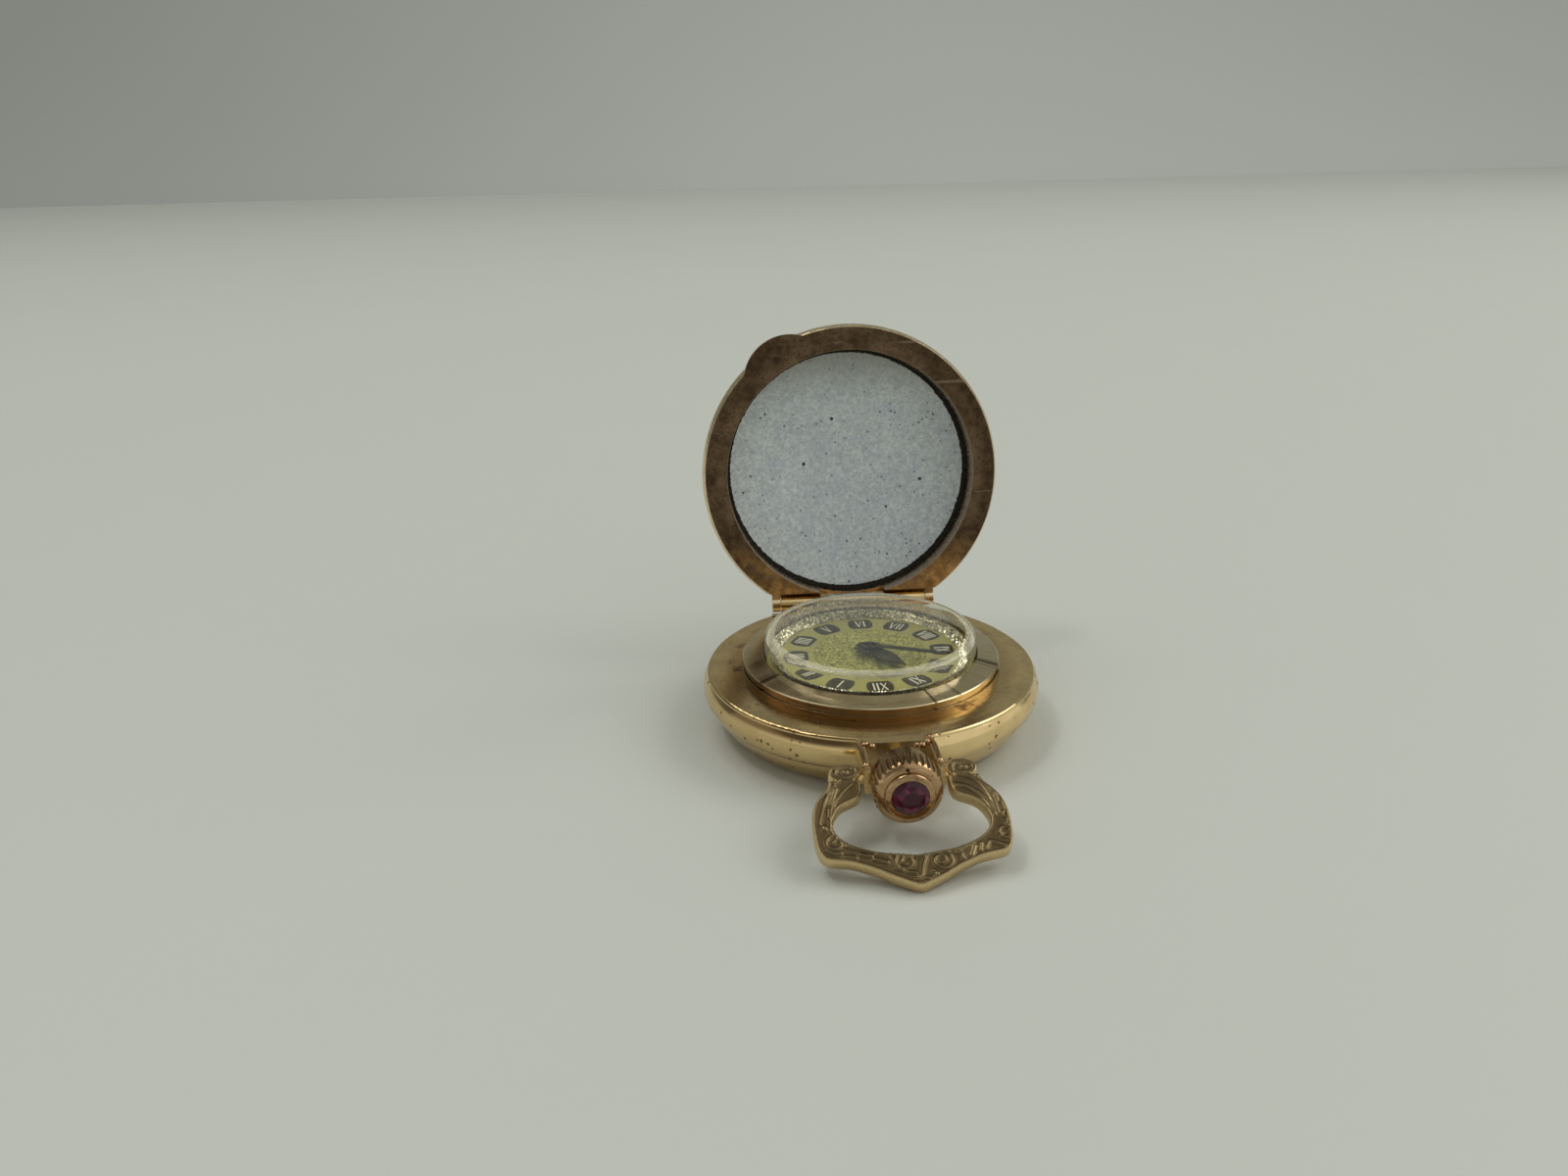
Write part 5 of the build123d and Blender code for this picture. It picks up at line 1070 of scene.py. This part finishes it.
def make_collar_beads():
    skin = Skin()
    for x, y, z, radius in collar_beads:
        middle = Vector((x, y, z))
        work = bmesh.new()
        bmesh.ops.create_icosphere(work, subdivisions=3, radius=radius)
        dented = [vertex.co * (1 + collar_bead_dent * noise.noise(vertex.co * 4 + middle)) + middle
                  for vertex in work.verts]
        numbers = skin.row(dented)
        skin.faces += [[numbers[vertex.index] for vertex in face.verts] for face in work.faces]
        work.free()
    skin.piece("collar_beads", "case", "cast_gold", finishes["crown_gold"], 60)


def bar_rows(centres, radii):
    """Round rows of points along a bar's centres."""
    rows = []
    for index, centre in enumerate(centres):
        along = centres[min(index + 1, len(centres) - 1)] - centres[max(index - 1, 0)]
        aside = along.cross(Vector((0, 0, 1))).normalized()
        up = aside.cross(along.normalized())
        turns = [around(360 * side / collar_wire_sides, radii[index]) for side in range(collar_wire_sides)]
        rows.append([centre + aside * turn.x + up * turn.y for turn in turns])
    return rows


def make_collar_wire():
    top = millimetre_box("pendant_collar")[1].z
    skin = Skin()
    for side in (-1, 1):
        route = [Vector((side * x, y, top - drop)) for x, y, drop in collar_wire_route]
        centres = smooth_curve(route, 10)
        swell = [math.sin(math.pi * index / (len(centres) - 1)) for index in range(len(centres))]
        radii = [collar_wire_radius * (collar_wire_end_share + (1 - collar_wire_end_share) * share)
                 for share in swell]
        skin.stack(bar_rows(centres, radii))
    skin.piece("collar_wire", "case", "cast_gold", finishes["crown_gold"], 60)


# Bow: the cast outline of the solid with scrolls, leaves and a rope edge on its top face.
# Places are in the bow's own plane: x to the right, y from the pins towards the tip.
bow_pivot = Vector(joints["bow_swing"]["pos_m"]) / MM
bow_drop = 22.94
bow_spacing = 0.075
bow_row_share = 0.87
bow_edge_round = 0.13
bow_foot_bevel = 0.06
bow_sink = 0.15
bow_rim = 0.16
bow_rim_slope = 0.12
bow_wave = 0.012
bow_lines = (
    # Right arm: two long ridges and the rope edge
    (((3.86, -0.17), (4.57, -0.42), (5.25, -0.79), (5.77, -1.41), (6.15, -2.22), (6.39, -3.13),
      (6.44, -3.89)), 0.2),
    (((3.56, -1.26), (4.38, -1.45), (5.04, -1.88), (5.65, -2.57), (6.03, -3.35), (6.19, -4.12)), 0.19),
    (((5.78, -1.5), (6.08, -1.9)), 0.13),
    (((6.3, -1.5), (6.45, -2.37)), 0.15),
    (((6.75, -2.1), (6.82, -3.0)), 0.15),
    (((7.0, -2.85), (7.08, -3.7)), 0.15),
    (((7.28, -3.95), (6.98, -3.9), (6.8, -4.2), (7.0, -4.5), (7.25, -4.4)), 0.11),
    (((7.14, -4.75), (7.02, -5.0)), 0.17),
    # Right corner: scroll and leaf
    (((6.2, -5.75), (6.45, -5.35), (6.95, -5.35), (7.11, -5.75), (6.85, -6.15), (6.4, -6.1),
      (6.45, -5.8)), 0.12),
    (((5.46, -6.45), (5.89, -6.62), (6.46, -6.84), (7.0, -6.86)), 0.15),
    (((5.4, -6.45), (5.2, -6.75), (5.03, -7.08)), 0.13),
    (((4.75, -6.6), (4.6, -7.15)), 0.15),
    (((4.18, -6.8), (3.89, -7.47)), 0.19),
    (((2.75, -6.95), (3.06, -6.98), (3.5, -6.84), (3.89, -6.6), (4.4, -6.3)), 0.12),
    (((2.8, -7.2), (3.2, -7.3), (3.3, -7.75)), 0.13),
    # Right of the tip: stem and spiral
    (((0.97, -7.1), (0.6, -7.48), (0.33, -8.16), (0.1, -8.95), (-0.1, -9.22)), 0.13),
    (((0.97, -7.1), (1.74, -7.0), (2.36, -7.35), (2.46, -7.96), (2.02, -8.4), (1.41, -8.32),
      (1.14, -7.87),
      (1.42, -7.44), (1.9, -7.44), (2.0, -7.84), (1.66, -7.98)), 0.12),
    (((-0.28, -9.22), (0.4, -9.15), (1.0, -9.32)), 0.12),
    (((-0.1, -9.5), (0.3, -9.42), (0.75, -9.5)), 0.1),
    (((0.95, -8.62), (1.2, -8.9), (0.85, -9.12)), 0.13),
    # Left of the tip: spiral, leaf and lobes
    (((-0.15, -7.3), (-0.5, -7.05), (-1.2, -7.1), (-1.62, -7.6), (-1.4, -8.15), (-0.85, -8.3),
      (-0.4, -7.95),
      (-0.5, -7.5), (-1.0, -7.42), (-1.2, -7.78), (-0.92, -7.95)), 0.12),
    (((-0.9, -8.62), (-0.4, -8.7), (-0.17, -8.99)), 0.12),
    (((-1.75, -8.25), (-1.25, -8.45)), 0.12),
    # Left lower bar: long ridge and staggered bars
    (((-5.0, -6.22), (-4.16, -6.48), (-3.08, -6.78), (-1.9, -7.06)), 0.13),
    (((-5.3, -7.05), (-4.45, -7.22)), 0.14),
    (((-4.15, -6.95), (-3.3, -7.16)), 0.14),
    (((-3.15, -7.42), (-2.25, -7.72)), 0.15),
    (((-2.95, -7.05), (-2.1, -7.32)), 0.12),
    # Left corner: scroll, bead and rim
    (((-5.2, -5.35), (-5.65, -5.15), (-6.2, -5.4), (-6.4, -5.9), (-6.05, -6.35), (-5.5, -6.3),
      (-5.3, -5.9),
      (-5.65, -5.6), (-5.95, -5.85)), 0.12),
    (((-6.5, -6.45), (-6.05, -6.74), (-5.45, -6.75)), 0.13),
    (((-5.1, -5.85), (-5.05, -6.05)), 0.17),
    # Left arm: beads, leaf and ridges
    (((-6.45, -4.5), (-6.42, -4.62)), 0.18),
    (((-5.93, -4.7), (-5.9, -4.85)), 0.17),
    (((-5.95, -2.95), (-6.04, -3.6)), 0.15),
    (((-5.3, -1.12), (-5.55, -1.8), (-5.83, -2.48)), 0.19),
    (((-4.9, -0.3), (-5.5, -1.05), (-6.12, -2.1), (-6.5, -3.3), (-6.75, -4.2)), 0.12),
    (((-4.0, -0.75), (-4.7, -1.4), (-5.3, -2.2), (-5.72, -3.05), (-5.88, -4.0)), 0.14),
)
volute_middles = (((4.7, 0.34), 1), ((-4.4, 0.4), -1))
volute_turns = 1.12
volute_reach = (0.92, 0.6)
volute_inner_share = 0.65
volute_eye = 0.05
volute_eye_half_width = 0.2
volute_steps = 40
volute_half_width = 0.13
bow_line_swell = 1.55


def volute_line(middle, side):
    """A flat spiral on the bow's eye, wound the other way on the other side."""
    line = []
    for step in range(volute_steps + 1):
        share = step / volute_steps
        spot = around(90 + side * 360 * volute_turns * share, 1 - (1 - volute_inner_share) * share)
        line.append(middle + spot * Vector(volute_reach))
    return line


def face_outline(mesh, to_local, top):
    """The closed outline of a solid's flat face at the top of its own plane."""
    flat = [to_local @ (vertex.co / MM) for vertex in mesh.vertices]
    names = [(round(point.x, 3), round(point.y, 3)) for point in flat]
    sides = set()
    for polygon in mesh.polygons:
        corners = list(polygon.vertices)
        if all(abs(flat[corner].z - top) < 0.01 for corner in corners):
            sides |= {(names[start], names[stop]) for start, stop in zip(corners, corners[1:] + corners[:1])}
    following = {start: stop for start, stop in sides if (stop, start) not in sides}
    outline = [min(following)]
    while following[outline[-1]] != outline[0]:
        outline.append(following[outline[-1]])
    return [Vector(point) for point in outline]


def divided(outline, spacing):
    """An outline with no side longer than the spacing."""
    points = []
    for start, stop in zip(outline, outline[1:] + outline[:1]):
        parts = max(1, math.ceil((stop - start).length / spacing))
        points += [start.lerp(stop, part / parts) for part in range(parts)]
    return points


def inside(points, outline):
    """Which points lie within a closed outline."""
    within = np.zeros(len(points), dtype=bool)
    for start, stop in zip(outline, np.roll(outline, -1, axis=0)):
        crosses = (start[1] > points[:, 1]) != (stop[1] > points[:, 1])
        rise = np.where(stop[1] == start[1], 1.0, stop[1] - start[1])
        at = start[0] + (points[:, 1] - start[1]) * (stop[0] - start[0]) / rise
        within ^= crosses & (points[:, 0] < at)
    return within


def distance_to(points, line):
    """Each point's distance to the nearest of a line's closely set points."""
    nearest = np.full(len(points), np.inf)
    for place in line:
        nearest = np.minimum(nearest, np.hypot(points[:, 0] - place[0], points[:, 1] - place[1]))
    return nearest


def filled(outline, spacing):
    """Points and triangles that fill an outline, and which points are the outline's own."""
    edge = np.array([point[:] for point in outline])
    low, high = edge.min(0), edge.max(0)
    row_step = spacing * bow_row_share
    rows = int((high[1] - low[1]) / row_step)
    columns = int((high[0] - low[0]) / spacing)
    grid = np.array([(low[0] + (column + 0.5 * (row % 2)) * spacing, low[1] + row * row_step)
                     for row in range(rows) for column in range(columns)])
    grid = grid[inside(grid, edge)]
    grid = grid[distance_to(grid, edge) > spacing * 0.55]
    points = [Vector(point) for point in np.vstack((edge, grid))]
    made = geometry.delaunay_2d_cdt(points, [], [list(range(len(edge)))], 1, 1e-5)
    places, faces, sources = made[0], made[2], made[3]
    shown = {source: index for index, found in enumerate(sources) for source in found}
    return np.array([place[:] for place in places]), faces, [shown[index] for index in range(len(edge))]


def relief(points):
    """How far each place of the bow's face is raised, from 0 in the ground to 1 on a ridge."""
    raised = np.zeros(len(points))
    lines = [([Vector(place) for place in line], half_width) for line, half_width in bow_lines]
    for place, side in volute_middles:
        middle = Vector(place)
        lines.append((volute_line(middle, side), volute_half_width))
        eye = Vector((volute_eye, 0))
        lines.append(([middle - eye, middle + eye], volute_eye_half_width))
    for line, half_width in lines:
        away = distance_to(points, smooth_curve(line, 12))
        raised = np.maximum(raised, np.clip(1 - (away / (half_width * bow_line_swell)) ** 2, 0, 1))
    return raised


def make_bow_casting():
    place = Matrix.Translation(bow_pivot) @ Matrix.Rotation(math.radians(bow_drop), 4, "X")
    to_local = place.inverted()
    mesh = nodes["bow"].data
    top = max((to_local @ (vertex.co / MM)).z for vertex in mesh.vertices)
    outline = divided(face_outline(mesh, to_local, top), bow_spacing)
    spots, spot_faces, edge = filled(outline, bow_spacing)
    away = distance_to(spots, outline)
    ground = np.clip((away - bow_rim) / bow_rim_slope, 0, 1)
    sunk = ground * ground * (3 - 2 * ground) * (1 - relief(spots))
    short = np.clip(bow_edge_round - away, 0, bow_edge_round)
    rounded = bow_edge_round - np.sqrt(bow_edge_round ** 2 - short ** 2)
    skin = Skin()
    skin.row([place @ Vector((x, y, top - drop - bow_sink * hollow
                              + bow_wave * (noise.noise(Vector((x, y, 0)) * 2.2) - 1)))
              for (x, y), drop, hollow in zip(spots, rounded, sunk)])
    skin.faces += [list(face) for face in spot_faces]
    previous = edge
    for height, inset in ((0.0, 0.0), (bow_edge_round - top, 0.0), (-top, bow_foot_bevel)):
        ring = []
        for index, point in enumerate(outline):
            along = (outline[(index + 1) % len(outline)] - outline[index - 1]).normalized()
            ring.append(place @ Vector((point.x - along.y * inset, point.y + along.x * inset, height)))
        numbers = skin.row(ring)
        skin.band(previous, numbers)
        previous = numbers
    skin.faces.append(previous)
    plain = [0.0] * (len(skin.points) - len(spots))
    piece = skin.piece("bow_casting", "bow", "cast_gold", finishes["cast_gold"], 50, instead_of="bow")
    for name, values in (("hollow", sunk), ("face", np.clip(away / bow_rim_slope, 0, 1))):
        piece.data.attributes.new(name, "FLOAT", "POINT").data.foreach_set("value", list(values) + plain)


# Crystal: a clear acrylic dome with a rounded corner, the milky band round that corner, and a
# sheet inside its wall that carries a painted reflection of the knurled ring
crystal_wall = 0.3
crystal_taper = 0.2
crystal_corner = 0.4
crystal_corner_steps = 8
crystal_crown_rise = 0.04
crystal_steps = 256
crystal_pole = 0.02
scuff_lift = 0.004
scuff_drop = 0.3
scuff_flare = 0.045
scuff_skin = 0.008
# The sheet inside the crystal's wall that carries the painted reflection of the knurled ring
reflection_sheet_gap = 0.03
reflection_sheet_low = 0.35
reflection_sheet_high = 1.65
reflection_sheet_lean = 0.25
reflection_sheet_skin = 0.01


def rounded_corner(radius, top, corner):
    """Radius and height round the crystal's corner, from its wall to its top."""
    line = []
    for step in range(crystal_corner_steps + 1):
        turn = math.radians(90 * step / crystal_corner_steps)
        line.append((radius - corner + corner * math.cos(turn), top - corner + corner * math.sin(turn)))
    return line


def crystal_profile(inset):
    """Radius and height along the crystal's skin, from its foot to its middle, moved in by an inset."""
    low, high = millimetre_box("crystal")
    top = high.z - crystal_crown_rise - inset
    corner = rounded_corner(high.x - crystal_taper - inset, top, crystal_corner - inset * 0.5)
    crown = [(max(corner[-1][0] * share, crystal_pole), top + crystal_crown_rise * (1 - share ** 2))
             for share in (0.75, 0.5, 0.25, 0.0)]
    return [(high.x - inset, low.z)] + corner + crown


def turned(section):
    """The rows of points that a section makes as it turns round the upright axis."""
    return [circle(radius, height, crystal_steps) for radius, height in section]


def make_crystal():
    skin = Skin()
    skin.stack(turned(crystal_profile(0.0)[::-1] + crystal_profile(crystal_wall)))
    piece = skin.piece("crystal_dome", "case", "acrylic", finishes["acrylic"], 35, instead_of="crystal")
    piece.visible_shadow = False


def make_crystal_edge():
    high = millimetre_box("crystal")[1]
    radius = high.x - crystal_taper
    top = high.z - crystal_crown_rise
    line = [(radius + scuff_flare, top - crystal_corner - scuff_drop)]
    line += rounded_corner(radius, top, crystal_corner)
    line.append((radius - scuff_width, top))
    outer = [(reach + scuff_lift, height + scuff_lift) for reach, height in line]
    inner = [(reach - scuff_skin, height - scuff_skin) for reach, height in reversed(outer)]
    skin = Skin()
    skin.loop(turned(outer + inner))
    piece = skin.piece("crystal_scuffed_edge", "case", "acrylic", scuffed_acrylic(radius, top), 40)
    piece.visible_shadow = False


# A sheet inside the crystal's wall that shows a painted reflection of the knurled ring.
def make_crystal_painted_reflection():
    low, high = millimetre_box("crystal")
    foot = (high.x - crystal_wall - reflection_sheet_gap, low.z + reflection_sheet_low)
    head = (foot[0] - reflection_sheet_lean, low.z + reflection_sheet_high)
    skin = Skin()
    skin.loop(turned([foot, head, (head[0] - reflection_sheet_skin, head[1]), (foot[0] - reflection_sheet_skin, foot[1])]))
    piece = skin.piece("crystal_painted_reflection", "case", "acrylic", painted_ring_reflection(), 40)
    piece.visible_shadow = False


make_dial_blocks()
make_dial_numerals()
make_hands()
make_reflector_knurl()
make_seat_line()
make_crown_gem()
make_collar_beads()
make_collar_wire()
make_bow_casting()
make_crystal()
make_crystal_edge()
make_crystal_painted_reflection()


# Stage, light and camera, in metres
table_half_width = 3
table_near_edge = -2
table_far_edge = 0.93
backdrop_place = 1.3
backdrop_half_width = 4
backdrop_low = -1
backdrop_high = 3

# The room's brightness, and where it is dimmer: aim, edge of the place, its core, share kept there
room_strength = 0.76
dim_places = (((0.0, 0.2, 1.0), 0.90, 0.975, 0.5), ((-0.5, -0.5, 0.68), 0.80, 0.95, 0.35),
              ((0.0, -0.95, 0.35), 0.90, 0.98, 0.55))
# Ceiling lamps: name, place, size, watts and colour
lamps = (("left_ceiling", (-0.34, 0.32, 0.90), (0.60, 0.40), 1.9, (1.0, 0.99, 0.95)),
         ("right_ceiling", (0.74, 0.12, 0.68), (0.80, 0.55), 3.2, (1.0, 0.99, 0.95)),
         ("window_glint", (-0.42, -0.02, 0.88), (0.16, 0.09), 0.8, (1.0, 1.0, 1.0)))


def stage_sheet(name, corners, material):
    mesh = bpy.data.meshes.new(name)
    mesh.from_pydata(corners, [], [[0, 1, 2, 3]])
    mesh.materials.append(material)
    sheet = bpy.data.objects.new(name, mesh)
    bpy.context.scene.collection.objects.link(sheet)


def make_stage():
    table = Finish("table_top")
    cloud = table.blotches(0.004, 0.5, 0.4)
    near, far = table_near_edge, table_far_edge
    stage_sheet("table", [(-table_half_width, near, 0), (table_half_width, near, 0),
                          (table_half_width, far, 0), (-table_half_width, far, 0)],
                table.finished(table.mix(cloud, (0.565, 0.58, 0.53), (0.54, 0.555, 0.505)),
                               table.ease(cloud, 0.0, 1.0, 0.5, 0.6)))
    wall = Finish("backdrop", Roughness=0.9)
    drift = wall.times(wall.blotches(0.002, 0.5, 0.4), 100.0)
    # Painted shade: the backdrop is darker towards the left.
    lit = wall.ease(wall.plus(wall.along("X", wall.place()), drift), -800.0, 400.0)
    side = backdrop_half_width
    stage_sheet("backdrop", [(-side, backdrop_place, backdrop_low), (side, backdrop_place, backdrop_low),
                             (side, backdrop_place, backdrop_high), (-side, backdrop_place, backdrop_high)],
                wall.finished(wall.mix(lit, (0.34, 0.35, 0.325), (0.48, 0.495, 0.455))))


def make_light():
    """A plain bright room, dimmer overhead and to the left of the camera, with soft ceiling lamps."""
    world = bpy.data.worlds.new("studio")
    bpy.context.scene.world = world
    world.use_nodes = True
    room = Recipe(world.node_tree)
    direction = room.node("TexCoord").outputs["Generated"]
    strength = room_strength
    for aim, low, high, kept in dim_places:
        near = room.dot(direction, tuple(Vector(aim).normalized()))
        strength = room.times(strength, room.ease(near, low, high, 1.0, kept))
    surface = world.node_tree.nodes["Background"]
    surface.inputs["Color"].default_value = (0.95, 0.97, 0.94, 1.0)
    room.give(surface.inputs["Strength"], strength)
    for name, place, size, watts, colour in lamps:
        lamp = bpy.data.lights.new(name, "AREA")
        lamp.shape = "RECTANGLE"
        lamp.size, lamp.size_y = size
        lamp.energy = watts
        lamp.color = colour
        light = bpy.data.objects.new(name, lamp)
        light.location = place
        light.rotation_euler = (-Vector(place)).to_track_quat("-Z", "Y").to_euler()
        bpy.context.scene.collection.objects.link(light)


def make_camera():
    camera = bpy.data.cameras.new("camera")
    camera.lens = camera_lens
    camera.sensor_width = camera_sensor
    camera.sensor_fit = "HORIZONTAL"
    camera.clip_start = 0.005
    camera.clip_end = 20
    view = bpy.data.objects.new("camera", camera)
    view.location = Vector(camera_place) * MM
    view.rotation_euler = (
        Matrix.Rotation(math.radians(camera_heading), 3, "Z")
        @ Matrix.Rotation(math.radians(90 - camera_pitch), 3, "X")
        @ Matrix.Rotation(math.radians(camera_roll), 3, "Z")
    ).to_euler()
    bpy.context.scene.collection.objects.link(view)
    bpy.context.scene.camera = view


make_stage()
make_light()
make_camera()
bpy.context.scene.view_settings.view_transform = "Standard"
